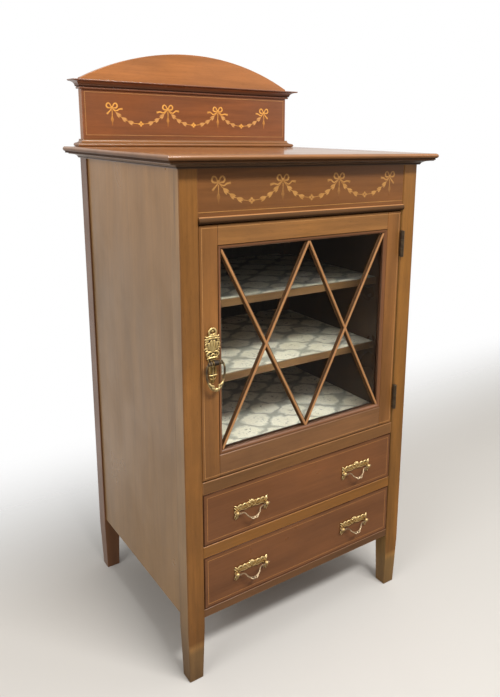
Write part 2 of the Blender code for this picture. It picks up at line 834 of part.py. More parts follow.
def make_pull_plate(name, brass):
    """A pierced plate with a raised middle and two bored posts, built about the middle of its pivots."""
    half, rise = pull_half_width, pull_crest_height
    outline = cast_outline(pull_top_shares, pull_bottom_shares, half, rise, pull_leaf_drop)
    holes = []
    for u, v, radius in pull_hole_shares:
        for side in (-1, 1):
            holes.append((side * u * half, v * rise, radius * half))
    plate = cast_plate(name, outline, holes, pull_post_length, pull_plate_thickness, brass)
    dome_place = (0, pull_post_length - pull_plate_thickness, rise * pull_dome_share)
    dome_radii = (pull_dome_radius, pull_dome_height, rise * pull_dome_height_share)
    join(plate, ball(name + "_dome", dome_place, dome_radii, brass))
    for side in (-1, 1):
        x = side * bail_half
        foot = (x, pull_post_length - fit_gap, 0)
        join(plate, cylinder(f"{name}_post_{side}", pull_post_radius, foot, (x, 0, 0), brass, 12))
        join(plate, ball(f"{name}_ball_{side}", (x, 0, 0), (pull_ball_radius,) * 3, brass))
        reach = pull_ball_radius + overrun
        bore_radius = pull_pin_radius + pull_pin_clearance
        bore_ends = ((x - reach, 0, 0), (x + reach, 0, 0))
        cut(plate, cylinder(f"{name}_bore_{side}", bore_radius, *bore_ends, brass, 12))
    return plate


def rod_along(name, path, radii, closed, material, lean=0.0, sides=8):
    """A round rod through points of the front view, with its own radius at each. It leans forward by a
    share of its depth below the axis."""
    count = len(path)
    rings = []
    for i, (point, radius) in enumerate(zip(path, radii)):
        here = Vector(point)
        before = Vector(path[i - 1]) if closed or i > 0 else here
        after = Vector(path[(i + 1) % count]) if closed or i < count - 1 else here
        way = (after - before).normalized()
        across = Vector((way.y, -way.x))
        ring = []
        for u, depth in arc(0, 0, radius, radius, 0, 2 * pi, sides)[:-1]:
            ring.append(elevation(*(here + across * u), depth + lean * here.y))
        rings.append(ring)
    return round_off(lofted(name, rings, material, closed))


def make_bail(name, brass):
    """A swan-neck bail, whose ends turn in the posts of its plate, with a knob at its foot."""
    shoulder = bail_half - pull_ball_radius - pull_pin_end
    tip = bail_half + pull_ball_radius + pull_pin_end
    sweep = curved([(u * bail_half, -v * bail_drop) for u, v in bail_shares])
    right = [(tip, 0.0), (shoulder + pull_pin_end / 2, 0.0), (shoulder, 0.0), *sweep]
    path = [*right, *[(-u, v) for u, v in right[-2::-1]]]
    radii = [pull_pin_radius if abs(u) > shoulder else bail_radius for u, v in path]
    bail = rod_along(name, path, radii, False, brass, bail_reach / bail_drop)
    return join(bail, ball(name + "_knob", (0, -bail_reach, -bail_drop), (bail_knob_radius,) * 3, brass))


def make_handle_plate(brass):
    """The door's pierced plate, with a bored lug for its ring, built about the middle of the lug."""
    half, rise = handle_half_width, handle_rise
    outline = cast_outline(handle_top_shares, handle_bottom_shares, half, rise, handle_fall)
    holes = [(0.0, lock_rise, keyhole_radius)]
    for u, v, radius in handle_hole_shares:
        holes.append((u * half, v * rise, radius * half))
    plate = cast_plate("door_handle_plate", outline, holes, lug_reach, handle_plate_thickness, brass)
    dome_place = (0, lug_reach - handle_plate_thickness, rise * handle_dome_share)
    dome_radii = (handle_dome_radius, handle_dome_height, handle_dome_radius)
    join(plate, ball("handle_dome", dome_place, dome_radii, brass))
    lug_half = lug_width / 2
    neck_half, neck_radius = lug_half * lug_neck_share, lug_radius * lug_neck_share
    corner = (-neck_half, lug_reach - fit_gap, -neck_radius)
    join(plate, block("handle_neck", corner, (neck_half, 0, neck_radius), brass))
    join(plate, cylinder("handle_lug", lug_radius, (-lug_half, 0, 0), (lug_half, 0, 0), brass))
    reach = lug_half + overrun
    bore_radius = ring_pin_radius + ring_pin_clearance
    return cut(plate, cylinder("handle_bore", bore_radius, (-reach, 0, 0), (reach, 0, 0), brass, 12))


def make_handle_ring(brass):
    """A hanging ring, whose straight top turns in the plate's lug."""
    right = curved([(u * ring_half_width, -v * ring_drop) for u, v in ring_shares])
    pin_end = ring_shares[0][0] * ring_half_width
    right = [(pin_end * share, 0.0) for share in ring_pin_shares] + right
    path = [*right, *[(-u, v) for u, v in reversed(right) if u > fit_gap]]
    radii = [ring_pin_radius if v == 0 else ring_radius for u, v in path]
    ring = rod_along("door_handle_ring", path, radii, True, brass)
    return join(ring, ball("ring_knob", (0, 0, -ring_drop), (ring_knob_radius,) * 3, brass))


def tail_outline(base, height, spread):
    """The outline of a drawer side's front end in the side view, with its row of dovetails, from the bottom
    of the shoulder to its top."""
    pitch = height / tail_count
    root = pitch / 2 - pin_width / 2 + spread
    tip = root + tail_flare
    shoulder = drawer_front_back
    end = drawer_front_back - tail_length - spread
    outline = []
    for i in range(tail_count):
        middle = base + pitch * (i + 1 / 2)
        outline += [(shoulder, middle - root), (end, middle - tip)]
        outline += [(end, middle + tip), (shoulder, middle + root)]
    return outline


def make_drawer_bottom(name, low, lining):
    """A drawer's bottom. Its edges are rebated where they enter the grooves and pass under the back."""
    wide = drawer_side_inner + groove_depth - fit_gap
    narrow = drawer_side_inner - fit_gap
    edge = (wide, drawer_front_back - groove_depth, drawer_rear)
    field = (narrow, drawer_front_back + fit_gap, drawer_back_inner - fit_gap)
    tongue_top = low + drawer_bottom_tongue
    rings = []
    for height, (half, near, far) in (
        (low, edge), (tongue_top, edge), (tongue_top, field), (low + drawer_bottom_thickness, field),
    ):
        corners = ((-half, near), (half, near), (half, far), (-half, far))
        rings.append([(x, y, height) for x, y in corners])
    return lofted(name, rings, lining)


def make_drawer_side(name, side, base, height, mahogany, lining, face):
    """A drawer's side, lap-dovetailed to the front, with a slot for the bottom and a housing for the back."""
    inner, outer = side * drawer_side_inner, side * drawer_side_outer
    slot_low = base + drawer_bottom_lift
    slot_high = slot_low + drawer_bottom_tongue
    outline = [(drawer_rear, base + height), (drawer_rear, base), (drawer_front_back + fit_gap, base)]
    for depth, level in tail_outline(base, height, 0.0):
        outline.append((depth + fit_gap if depth == drawer_front_back else depth, level))
    outline.append((drawer_front_back + fit_gap, base + height))
    board = extruded(name, outline, inner, outer, section, lining)
    tails = []
    for depth, level in tail_outline(base, height, fit_gap):
        tails.append((depth + (overrun if depth == drawer_front_back else 0), level))
    through = side * (drawer_half + overrun)
    for i in range(tail_count):
        tail = tails[4 * i:4 * i + 4]
        cut(face, extruded(f"{name}_socket_{i}", tail, inner - side * fit_gap, through, section, mahogany))
    corner = (inner - side * overrun, drawer_face, slot_low)
    opposite = (side * (drawer_side_inner + groove_depth), drawer_rear + overrun, slot_high)
    cut(board, block(name + "_slot", corner, opposite, lining, (0, 0, fit_gap)))
    corner = (inner - side * overrun, drawer_back_inner, slot_high + 2 * fit_gap)
    opposite = (inner + side * housing_depth, drawer_back_outer, base + height + overrun)
    cut(board, block(name + "_housing", corner, opposite, lining, (fit_gap,) * 3))
    return board


def make_drawer_box(name, opening_bottom, opening_height, mahogany, lining):
    """The front, the two sides, the back and the bottom of a drawer."""
    base = opening_bottom + fit_gap
    height = opening_height - drawer_headroom
    slot_low = base + drawer_bottom_lift
    slot_high = slot_low + drawer_bottom_tongue
    corner = (-drawer_half, drawer_face, opening_bottom + drawer_gap)
    opposite = (drawer_half, drawer_front_back, opening_bottom + opening_height - drawer_gap)
    face = ease_edges(block(name + "_front", corner, opposite, mahogany), arris / 2)
    panel_half = drawer_side_inner + groove_depth - fit_gap
    corner = (-panel_half, drawer_front_back - groove_depth - fit_gap, slot_low)
    opposite = (panel_half, drawer_front_back + overrun, slot_high)
    cut(face, block(name + "_front_groove", corner, opposite, mahogany, (fit_gap, 0, fit_gap)))
    pieces = [face, make_drawer_bottom(name + "_bottom", slot_low, lining)]
    for side, hand in ((-1, "left"), (1, "right")):
        pieces.append(make_drawer_side(f"{name}_side_{hand}", side, base, height, mahogany, lining, face))
    back_half = drawer_side_inner + housing_depth
    corner = (-back_half, drawer_back_inner, slot_high + 2 * fit_gap)
    pieces.append(block(name + "_back", corner, (back_half, drawer_back_outer, base + height), lining))
    return pieces


def make_drawer(word, opening_bottom, opening_height, mahogany, lining, brass):
    """A drawer with two pulls. All its pieces slide together, and the bails also turn in their posts."""
    name = f"drawer_{word}"
    pieces = make_drawer_box(name, opening_bottom, opening_height, mahogany, lining)
    middle = opening_bottom + opening_height / 2
    slide = axis_empty(name + "_slide", (0, drawer_face, middle))
    for side, hand in ((-1, "left"), (1, "right")):
        place = (side * pull_x, pull_y, middle - pull_drop)
        pieces.append(settle(make_pull_plate(f"{name}_pull_{hand}", brass), place))
        bail = settle(make_bail(f"{name}_bail_{hand}", brass), place)
        carry(axis_empty(f"{name}_bail_pivot_{hand}", place, slide), [bail])
    carry(slide, pieces)


def make_door(leg, mahogany, brass, glass):
    """The door and all that turns with it, on the axis of its hinges."""
    stiles, rails = make_door_frame(mahogany)
    leaves = [make_hinge(level, leg, stiles[1], brass)["door"] for level in ("lower", "upper")]
    pieces = [*stiles.values(), *rails, *leaves]
    pieces.append(make_lock(stiles[-1], brass))
    pieces.append(make_sight_moulding(mahogany))
    pieces.append(make_glazing_bead(mahogany))
    pieces.append(make_glass(glass))
    pieces.append(make_bars(mahogany))
    handle_place = (handle_x, handle_y, handle_pivot)
    pieces.append(settle(make_handle_plate(brass), handle_place))
    ring = settle(make_handle_ring(brass), handle_place)
    swing = axis_empty("door_hinge_axis", (hinge_x, hinge_y, door_bottom))
    pivot = axis_empty("door_handle_pivot", handle_place, swing)
    carry(swing, pieces)
    carry(pivot, [ring])


def make_case(mahogany, lining, paper):
    """The legs, panels, boards and mouldings that stand still, and the leg that holds the hinges."""
    hands = {-1: "left", 1: "right"}
    legs = {}
    for end, place in ((-1, "front"), (1, "back")):
        for side, hand in hands.items():
            legs[end, side] = make_leg(f"leg_{place}_{hand}", side, end, mahogany)
    panels = {side: make_side_panel(f"side_panel_{hand}", side, mahogany) for side, hand in hands.items()}
    make_back_panel(lining)
    make_board("bottom_board", drawer_face, case_bottom_height, bottom_board_top, panels, mahogany)
    make_board("drawer_divider", drawer_face, divider_bottom, divider_top, panels, mahogany)
    boards = (
        ("cupboard_floor", "floor_paper", cupboard_floor_front, cupboard_floor_thickness, cupboard_floor_top),
        ("shelf_lower", "shelf_paper_lower", front + shelf_setback, shelf_thickness, lower_shelf_top),
        ("shelf_upper", "shelf_paper_upper", front + shelf_setback, shelf_thickness, upper_shelf_top),
    )
    for board, sheet, start, thickness, top in boards:
        make_board(board, start, top - thickness, top, panels, mahogany)
        make_paper(sheet, start, top, paper)
    for word, opening_bottom in (("lower", bottom_board_top), ("upper", divider_top)):
        for side, hand in hands.items():
            make_drawer_guide(f"drawer_guide_{word}_{hand}", side, opening_bottom, lining)
    make_cupboard_rail(mahogany)
    make_frieze_bead(mahogany)
    make_frieze(mahogany)
    make_top_moulding(mahogany)
    make_top_board(mahogany)
    make_gallery_board(mahogany)
    make_gallery_cornice(mahogany)
    make_gallery_base_moulding(mahogany)
    return legs[-1, 1]


def main():
    clear_scene()
    mahogany = finish("French polished mahogany", (0.215, 0.085, 0.035), 0.28)
    lining = finish("Plain drawer wood", (0.300, 0.170, 0.085), 0.60)
    brass = finish("Cast brass", (0.560, 0.390, 0.150), 0.34, metallic=1.0)
    glass = finish("Window glass", (0.930, 0.960, 0.940), 0.02, transmission=1.0)
    paper = finish("Lining paper", (0.580, 0.560, 0.440), 0.90)
    hinge_leg = make_case(mahogany, lining, paper)
    make_door(hinge_leg, mahogany, brass, glass)
    make_drawer("lower", bottom_board_top, lower_drawer_opening, mahogany, lining, brass)
    make_drawer("upper", divider_top, upper_drawer_opening, mahogany, lining, brass)


main()
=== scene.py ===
"""Looks of an Edwardian inlaid mahogany music cabinet: French polished wood, boxwood stringing and festoons,
cast brass, old glass and printed lining paper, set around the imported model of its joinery.

Metres, +Z up, and the front faces -Y.
"""
import json
from math import cos, pi, radians, sin

import bmesh
import bpy
import numpy as np
from mathutils import Matrix, Vector


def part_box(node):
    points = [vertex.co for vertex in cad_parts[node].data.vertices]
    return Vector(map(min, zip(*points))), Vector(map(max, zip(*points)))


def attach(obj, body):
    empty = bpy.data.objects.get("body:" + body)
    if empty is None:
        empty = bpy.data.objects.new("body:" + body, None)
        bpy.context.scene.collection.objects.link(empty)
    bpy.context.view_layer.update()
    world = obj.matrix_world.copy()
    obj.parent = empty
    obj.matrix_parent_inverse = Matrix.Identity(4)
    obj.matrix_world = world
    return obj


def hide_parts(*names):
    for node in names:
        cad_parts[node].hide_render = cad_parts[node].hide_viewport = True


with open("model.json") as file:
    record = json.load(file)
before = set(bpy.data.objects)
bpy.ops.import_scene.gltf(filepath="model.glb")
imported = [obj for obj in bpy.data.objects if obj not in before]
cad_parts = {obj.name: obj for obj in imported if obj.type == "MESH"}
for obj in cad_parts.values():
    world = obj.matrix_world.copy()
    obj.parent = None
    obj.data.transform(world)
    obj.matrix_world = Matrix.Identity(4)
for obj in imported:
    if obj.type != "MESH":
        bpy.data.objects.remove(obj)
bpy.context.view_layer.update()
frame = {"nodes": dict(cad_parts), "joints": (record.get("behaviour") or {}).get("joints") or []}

scene = bpy.context.scene
MM = 0.001

# Camera, as the photograph was taken
PHOTO_WIDTH, PHOTO_HEIGHT = 500, 697
CAMERA_PLACE = (-0.6705, -1.0770, 0.9191)
CAMERA_YAW, CAMERA_PITCH, CAMERA_ROLL = radians(36.53), radians(-12.84), radians(1.01)
FOCAL_PIXELS = 671.34
CENTRE_PIXEL = (300.35, 285.44)
SENSOR = 0.036

# Light: a lamp high in front casts the shelves' shadows, and the others fill them
FLOOR_COLOUR = "#CFCBC5"
FLOOR_FADE = (0.10, 0.85)
FLOOR_REACH = (1.1, 2.4)
ROOM_LIGHT = 0.38
# Name, place, what it is aimed at, width, height and power
LAMPS = (
    ("key", (0.25, -1.95, 2.74), (0, -0.1, 0.55), 1.5, 0.35, 84),
    ("left", (-2.6, -0.9, 1.7), (0, 0, 0.6), 1.6, 1.6, 30),
    ("right", (2.2, -1.6, 1.6), (0, 0, 0.6), 1.4, 1.4, 10),
    ("top", (-0.2, -0.3, 3.2), (0, 0, 0.6), 1.6, 1.6, 14),
)

# Inlay
INLAY_PROUD = 0.10 * MM
INLAY_SUNK = 0.20 * MM
STRING_WIDTH = 0.9 * MM
DOOR_STRING_INSET = 4.4 * MM
DRAWER_STRING_INSET = 7.2 * MM
FRIEZE_STRING_HEIGHT = 6.3 * MM
GALLERY_STRING_INSET = 6.2 * MM
GALLERY_STRING_HEIGHTS = (22.5 * MM, 101.3 * MM)

# Festoons: the bows hang at these places across the cabinet, and the swags reach between them
BOW_PLACES = (-174 * MM, -57.5 * MM, 57.5 * MM, 174 * MM)
BOW_HEIGHTS = {"gallery": 958.6 * MM, "frieze": 844.6 * MM}
SWAG_DROP = 28.6 * MM
SWAG_SAG = 2.3
SWAG_LEAD = 11.5 * MM
# Ribbons as (across, up, width) in millimetres from the knot, and the right side of the hanging bud
BOW_LOOP = ((0, 0, 2.0), (4.0, 0.2, 2.4), (8.6, 0.8, 2.8), (10.8, 4.2, 3.0), (9.2, 8.2, 2.8), (6.0, 9.0, 2.4),
            (3.2, 6.4, 2.2), (1.6, 2.6, 2.2), (0, 0.5, 2.0))
BOW_TAILS = {
    "middle_inner": ((0, 0, 1.6), (5.5, -3.5, 1.8), (10.5, -6.0, 2.0), (14.5, -4.0, 2.2), (18.0, -1.5, 2.6),
                     (25.0, -2.5, 4.2)),
    "middle_outer": ((0, 0, 1.6), (6.0, -3.5, 2.0), (10.0, -6.0, 2.2), (17.0, -4.3, 2.6), (24.5, -6.0, 4.2)),
    "end_inner": ((0, 0, 1.6), (4.0, -3.0, 1.8), (9.5, -4.6, 2.2), (14.5, -1.8, 2.6), (21.5, -0.8, 3.8)),
    "end_outer": ((0, 0, 1.4), (4.0, -5.0, 2.0), (10.5, -11.5, 3.6)),
}
BUD = ((0.8, -14.0), (1.6, -17.0), (3.0, -20.5), (2.9, -22.5), (1.4, -25.5), (1.0, -28.0), (1.4, -31.5),
       (0.6, -33.5))
HUSK_LENGTH = 12.2 * MM
HUSK_WIDTH = 3.7 * MM
HUSK_SPREAD = radians(16)
HUSK_PITCH = 13.4 * MM

# Brass
CAST_VOXEL = 0.40 * MM
PULL_POST = 29.5 * MM
BAIL_DROP = 12.5 * MM
BAIL_LEAN = 7.0 * MM
SCREW_RADIUS = 2.3 * MM
SCREW_SLOT = 0.55 * MM
SCREW_PROUD = 0.12 * MM
HINGE_GAP = 0.15 * MM
LEAF_THICKNESS = 1.2 * MM
KNUCKLE_RADIUS = 3.5 * MM
PIN_RADIUS, PIN_PROUD, PIN_EASE = 1.3 * MM, 0.7 * MM, 0.3 * MM
# How far behind the pin's axis the leaves start, their straps to the knuckles lie, and their screws stand
LEAF_FRONT, LEAF_EASE = 3.7 * MM, 0.15 * MM
STRAP_FRONT, STRAP_REAR, STRAP_EASE = 1.0 * MM, 4.2 * MM, 0.05 * MM
SCREW_ROWS = (13.5 * MM, 9.5 * MM)

# Lining papers: how far they swell, how far their front edge curls up, and how deep that curl reaches
PAPER_SWELL, PAPER_CURL, CURL_REACH = 0.35 * MM, 0.8 * MM, 18 * MM
PAPER_STEP = 5 * MM
PAPER_THICKNESS = 0.5 * MM

# Wear of the polish and painted light: arrises are worn pale and lightened further as a painted highlight,
# or, where the wear is below zero, greasy and darkened as a painted shadow of the gaps beside them
PORE_COLOUR, GREASE_AND_SHADOW_COLOUR, DIRT_AND_SHADE_COLOUR = "#2A1408", "#2A0E04", "#180C06"
RUBBED_AND_HIGHLIT_REACH, GREASE_AND_SHADOW_REACH = 1.8 * MM, 3.0 * MM
LEG_EDGE_GREASE_AND_SHADOW, RAIL_WEAR_AND_HIGHLIGHT, BOARD_WEAR_AND_HIGHLIGHT, DRAWER_EDGE_GREASE_AND_SHADOW = -0.25, 1.0, 0.3, -0.9
# A front face is what lies within this depth of it
FACE_DEPTH = 1 * MM

# Kinds of nodes that are used often
MATH, RANGE, MIX, NOISE = "ShaderNodeMath", "ShaderNodeMapRange", "ShaderNodeMix", "ShaderNodeTexNoise"
PLACE, BUMP, SPLIT = "ShaderNodeTexCoord", "ShaderNodeBump", "ShaderNodeSeparateXYZ"
UNITE, TURN, PATH = "ShaderNodeCombineXYZ", "ShaderNodeMapping", "ShaderNodeLightPath"
SHADER, OUTPUT = "ShaderNodeBsdfPrincipled", "ShaderNodeOutputMaterial"
RAMP, VECTORS, MARK = "ShaderNodeValToRGB", "ShaderNodeVectorMath", "ShaderNodeAttribute"
BLEND, BACKDROP = "ShaderNodeMixShader", "ShaderNodeBackground"
AIM, SHIFT = "FunctionNodeAlignEulerToVector", "GeometryNodeTransform"
INSTANCES = "GeometryNodeInstanceOnPoints"
# A Mix node's settings for colours, and its output for them
COLOURS = {"out": 2, "data_type": "RGBA"}


# Nodes and materials

def linear(code, share=1.0):
    """A linear colour from an sRGB hex value, made darker or lighter by a share."""
    parts = [int(code[i:i + 2], 16) / 255 for i in (1, 3, 5)]
    return (*[share * (s / 12.92 if s <= 0.04045 else ((s + 0.055) / 1.055) ** 2.4) for s in parts], 1.0)


def add(tree, kind, inputs=None, out=0, stops=None, **settings):
    """Adds a node with its settings, and with links or values in its sockets, and gives back one output. A
    list holds several links to one socket; the stops are a colour ramp's (place, linear colour)."""
    made = tree.nodes.new(kind)
    for key, value in settings.items():
        setattr(made, key, value)
    for key, value in (inputs or {}).items():
        for part in value if isinstance(value, list) else [value]:
            if isinstance(part, bpy.types.NodeSocket):
                tree.links.new(part, made.inputs[key])
            else:
                made.inputs[key].default_value = part
    if stops:
        ramp = made.color_ramp.elements
        while len(ramp) < len(stops):
            ramp.new(0.5)
        for element, (place, colour) in zip(ramp, stops):
            element.position, element.color = place, colour
    return made.outputs[out] if len(made.outputs) else None


def new_material(name):
    """An empty material and its tree."""
    made = bpy.data.materials.new(name)
    made.use_nodes = True
    made.node_tree.nodes.clear()
    return made, made.node_tree


def new_group(name, result, sockets):
    """A geometry nodes tree and its inputs; the sockets are (name, type, value or None)."""
    tree = bpy.data.node_groups.new(name, "GeometryNodeTree")
    for label, kind, value in sockets:
        made = tree.interface.new_socket(label, in_out="INPUT", socket_type="NodeSocket" + kind)
        if value is not None:
            made.default_value = value
    tree.interface.new_socket(result, in_out="OUTPUT", socket_type="NodeSocketGeometry")
    return tree, add(tree, "NodeGroupInput").node.outputs


def close_group(tree, given, instances):
    """Makes a tree's instances real, gives them its material, and puts them out."""
    real = add(tree, "GeometryNodeRealizeInstances", {0: instances})
    made = add(tree, "GeometryNodeSetMaterial", {"Geometry": real, "Material": given["Material"]})
    add(tree, "NodeGroupOutput", {0: made})
    return tree


def along_grain(tree, place, grain, length, width, seed, detail=3.0):
    """Noise whose figures are as long along the grain, and as wide across it, as these two sizes."""
    scale = tuple(1 / (length if axis == grain else width) for axis in "XYZ")
    shift = (seed * 3.7, seed * 5.3, seed * 2.9)
    mapped = add(tree, TURN, {"Vector": place, "Scale": scale, "Location": shift})
    return add(tree, NOISE, {"Vector": mapped, "Scale": 1.0, "Detail": detail, "Roughness": 0.55,
                             "Distortion": 0.4}, out="Fac")


def edge_distance(tree, place, low, high):
    """How far a point on a board's face lies from the nearest edge: the middle one of its three distances."""
    middle, half = (low + high) / 2, (high - low) / 2
    offset = add(tree, VECTORS, {0: place, 1: middle}, operation="SUBTRACT")
    size = add(tree, VECTORS, {0: offset}, operation="ABSOLUTE")
    inset = add(tree, VECTORS, {0: half, 1: size}, operation="SUBTRACT")
    parts = add(tree, SPLIT, {0: inset}).node.outputs
    low_pair = add(tree, MATH, {0: parts[0], 1: parts[1]}, operation="MINIMUM")
    high_pair = add(tree, MATH, {0: parts[0], 1: parts[1]}, operation="MAXIMUM")
    nearer = add(tree, MATH, {0: high_pair, 1: parts[2]}, operation="MINIMUM")
    return add(tree, MATH, {0: low_pair, 1: nearer}, operation="MAXIMUM")


def past_limits(tree, place, limits):
    """How much of a zone's tint a point takes: all of it past every limit (axis, place, side, fade)."""
    within = 1.0
    for axis, limit, side, fade in limits:
        position = add(tree, SPLIT, {0: place}, out="XYZ".index(axis))
        past = add(tree, MATH, {0: position, 1: limit}, operation="SUBTRACT")
        past = add(tree, RANGE, {0: add(tree, MATH, {0: past, 1: side}, operation="MULTIPLY"), 2: fade})
        within = add(tree, MATH, {0: within, 1: past}, operation="MULTIPLY")
    return within


def polished_mahogany(name, grain, colour, seed, figure=0.6, edges=None, worn=0.35, coordinates="Object",
                      zones=(), coat=0.15):
    """Mahogany, planed and French polished: a warm brown with a soft ribbon figure along the grain, short
    dark pores and a thin glossy film that is a little uneven. Its arrises are worn pale by handling and
    lightened further as a painted highlight, or, where worn is below zero, darkened by grease and by a
    painted shadow of the gaps beside them. The shade mark darkens the quirks of its mouldings with dirt and
    painted shade. Each zone is a (tint, limits) that multiplies over a part of it, mostly as painted light
    and shade."""
    made, tree = new_material("polished_mahogany_" + name)
    place = add(tree, PLACE, out=coordinates)
    broad = along_grain(tree, place, grain, 0.260, 0.034, seed)
    ribbon = along_grain(tree, place, grain, 0.150, 0.0050, seed + 11)
    # Real pores are 0.2 mm wide; these are drawn 0.8 mm wide so that they show
    pores = add(tree, RANGE, {0: along_grain(tree, place, grain, 0.014, 0.0008, seed + 23), 1: 0.57, 2: 0.76})
    cloud = along_grain(tree, place, grain, 0.120, 0.080, seed + 31)
    mixed = add(tree, MIX, {0: 0.34, 2: broad, 3: ribbon})
    toned = add(tree, RAMP, {0: mixed},
                stops=[(0.30, linear(colour, 1 - 0.42 * figure)), (0.50, linear(colour)),
                       (0.70, linear(colour, 1 + 0.36 * figure))])
    shaded = add(tree, RANGE, {0: cloud, 1: 0.38, 2: 0.68, 4: 0.45 * figure})
    toned = add(tree, MIX, {0: shaded, 6: toned, 7: linear(colour, 0.62)}, **COLOURS)
    specked = add(tree, MATH, {0: pores, 1: 0.45 * figure}, operation="MULTIPLY")
    toned = add(tree, MIX, {0: specked, 6: toned, 7: linear(PORE_COLOUR)}, **COLOURS)
    if edges:
        reach = RUBBED_AND_HIGHLIT_REACH if worn > 0 else GREASE_AND_SHADOW_REACH
        near = add(tree, RANGE, {0: edge_distance(tree, place, *edges), 1: 0.1 * reach, 2: reach, 3: 1.0,
                                 4: 0.0})
        uneven = add(tree, RANGE, {0: cloud, 1: 0.36, 2: 0.62, 3: abs(worn) * 0.5, 4: abs(worn)})
        edge_wear_and_light = add(tree, MATH, {0: near, 1: uneven}, operation="MULTIPLY")
        edge_tone = linear(colour, 1.8) if worn > 0 else linear(GREASE_AND_SHADOW_COLOUR)
        toned = add(tree, MIX, {0: edge_wear_and_light, 6: toned, 7: edge_tone}, **COLOURS)
    for tint, limits in zones:
        within = past_limits(tree, place, limits)
        toned = add(tree, MIX, {0: within, 6: toned, 7: linear(tint)}, **COLOURS, blend_type="MULTIPLY")
    # The shade mark: dirt in the quirks of mouldings together with painted shade
    dirt = add(tree, MARK, out="Fac", attribute_name="shade")
    toned = add(tree, MIX, {0: dirt, 6: toned, 7: linear(DIRT_AND_SHADE_COLOUR)}, **COLOURS)
    gloss = add(tree, RANGE, {0: cloud, 1: 0.3, 2: 0.7, 3: 0.27, 4: 0.40})
    dirt_and_shade_mask = add(tree, MATH, {0: dirt, 1: edge_wear_and_light}, operation="MAXIMUM") if edges and worn < 0 else dirt
    rough = add(tree, MIX, {0: dirt_and_shade_mask, 2: gloss, 3: 0.75})
    ripple = add(tree, NOISE, {"Vector": place, "Scale": 90.0, "Detail": 1.0}, out="Fac")
    pitted = add(tree, BUMP, {"Strength": 0.2, "Distance": 0.05 * MM, "Height": pores}, invert=True)
    normal = add(tree, BUMP, {"Strength": 0.2, "Distance": 0.10 * MM, "Height": ripple, "Normal": pitted})
    sheen = add(tree, RANGE, {0: dirt_and_shade_mask, 3: 0.5, 4: 0.05})
    film = add(tree, RANGE, {0: dirt_and_shade_mask, 3: coat, 4: 0.0})
    finish = add(tree, SHADER, {"Base Color": toned, "Roughness": rough, "Normal": normal, "IOR": 1.5,
                                "Specular IOR Level": sheen, "Coat Weight": film, "Coat Roughness": 0.08})
    add(tree, OUTPUT, {"Surface": finish})
    return made


def plain_wood(name, grain, dark, light, seed):
    """Sawn and planed secondary wood, never polished: dull, dry and paler, with dust in its grain."""
    made, tree = new_material(name)
    place = add(tree, PLACE, out="Object")
    figure = along_grain(tree, place, grain, 0.300, 0.018, seed)
    fibres = along_grain(tree, place, grain, 0.060, 0.0016, seed + 7)
    toned = add(tree, RAMP, {0: figure}, stops=[(0.3, linear(dark)), (0.7, linear(light))])
    dusty = add(tree, RANGE, {0: fibres, 1: 0.45, 2: 0.75, 4: 0.5})
    toned = add(tree, MIX, {0: dusty, 6: toned, 7: linear(dark)}, **COLOURS)
    rough = add(tree, RANGE, {0: fibres, 1: 0.3, 2: 0.7, 3: 0.62, 4: 0.80})
    normal = add(tree, BUMP, {"Strength": 0.4, "Distance": 0.08 * MM, "Height": fibres})
    finish = add(tree, SHADER, {"Base Color": toned, "Roughness": rough, "Normal": normal})
    add(tree, OUTPUT, {"Surface": finish})
    return made


def veneer(name, light, dark, scorched):
    """Boxwood or satinwood inlay under the same polish: close grained, golden with age, and scorched brown by
    hot sand towards the points of its leaves."""
    made, tree = new_material(name)
    place = add(tree, PLACE, out="Object")
    grain = along_grain(tree, place, "X", 0.020, 0.0022, 3)
    scorch = add(tree, MARK, out="Fac", attribute_name="shade")
    share = add(tree, RANGE, {0: grain, 1: 0.3, 2: 0.7})
    toned = add(tree, MIX, {0: share, 6: linear(dark), 7: linear(light)}, **COLOURS)
    toned = add(tree, MIX, {0: scorch, 6: toned, 7: linear(scorched)}, **COLOURS)
    rough = add(tree, RANGE, {0: grain, 3: 0.28, 4: 0.40})
    finish = add(tree, SHADER, {"Base Color": toned, "Roughness": rough, "Coat Weight": 0.20,
                                "Coat Roughness": 0.10})
    add(tree, OUTPUT, {"Surface": finish})
    return made


def worked_brass(name, hollow, body, shine, cast=True):
    """Brass, sand cast and chased, or pressed from sheet, and lacquered: pale and bright on its worn ridges,
    and brown where dirt and old lacquer have settled in its hollows."""
    made, tree = new_material(name)
    place = add(tree, PLACE, out="Object")
    ridge = add(tree, MARK, out="Fac", attribute_name="ridge") if cast else 0.5
    cloud = add(tree, NOISE, {"Vector": place, "Scale": 1 / 0.009, "Detail": 4.0}, out="Fac")
    pits = add(tree, NOISE, {"Vector": place, "Scale": 1 / 0.0012, "Detail": 2.0}, out="Fac")
    patchy = add(tree, RANGE, {0: cloud, 1: 0.3, 2: 0.7, 3: -0.16, 4: 0.16})
    worn = add(tree, MATH, {0: ridge, 1: patchy}, operation="ADD")
    toned = add(tree, RAMP, {0: worn},
                stops=[(0.10, linear(hollow)), (0.45, linear(body)), (0.85, linear(shine))])
    normal = add(tree, BUMP, {"Strength": 0.3, "Distance": 0.08 * MM, "Height": pits})
    metal = add(tree, RANGE, {0: worn, 1: 0.1, 2: 0.9, 3: 0.25, 4: 0.75})
    rough = add(tree, RANGE, {0: worn, 1: 0.1, 2: 0.9, 3: 0.60, 4: 0.34})
    finish = add(tree, SHADER, {"Base Color": toned, "Metallic": metal, "Roughness": rough, "Normal": normal})
    add(tree, OUTPUT, {"Surface": finish})
    return made


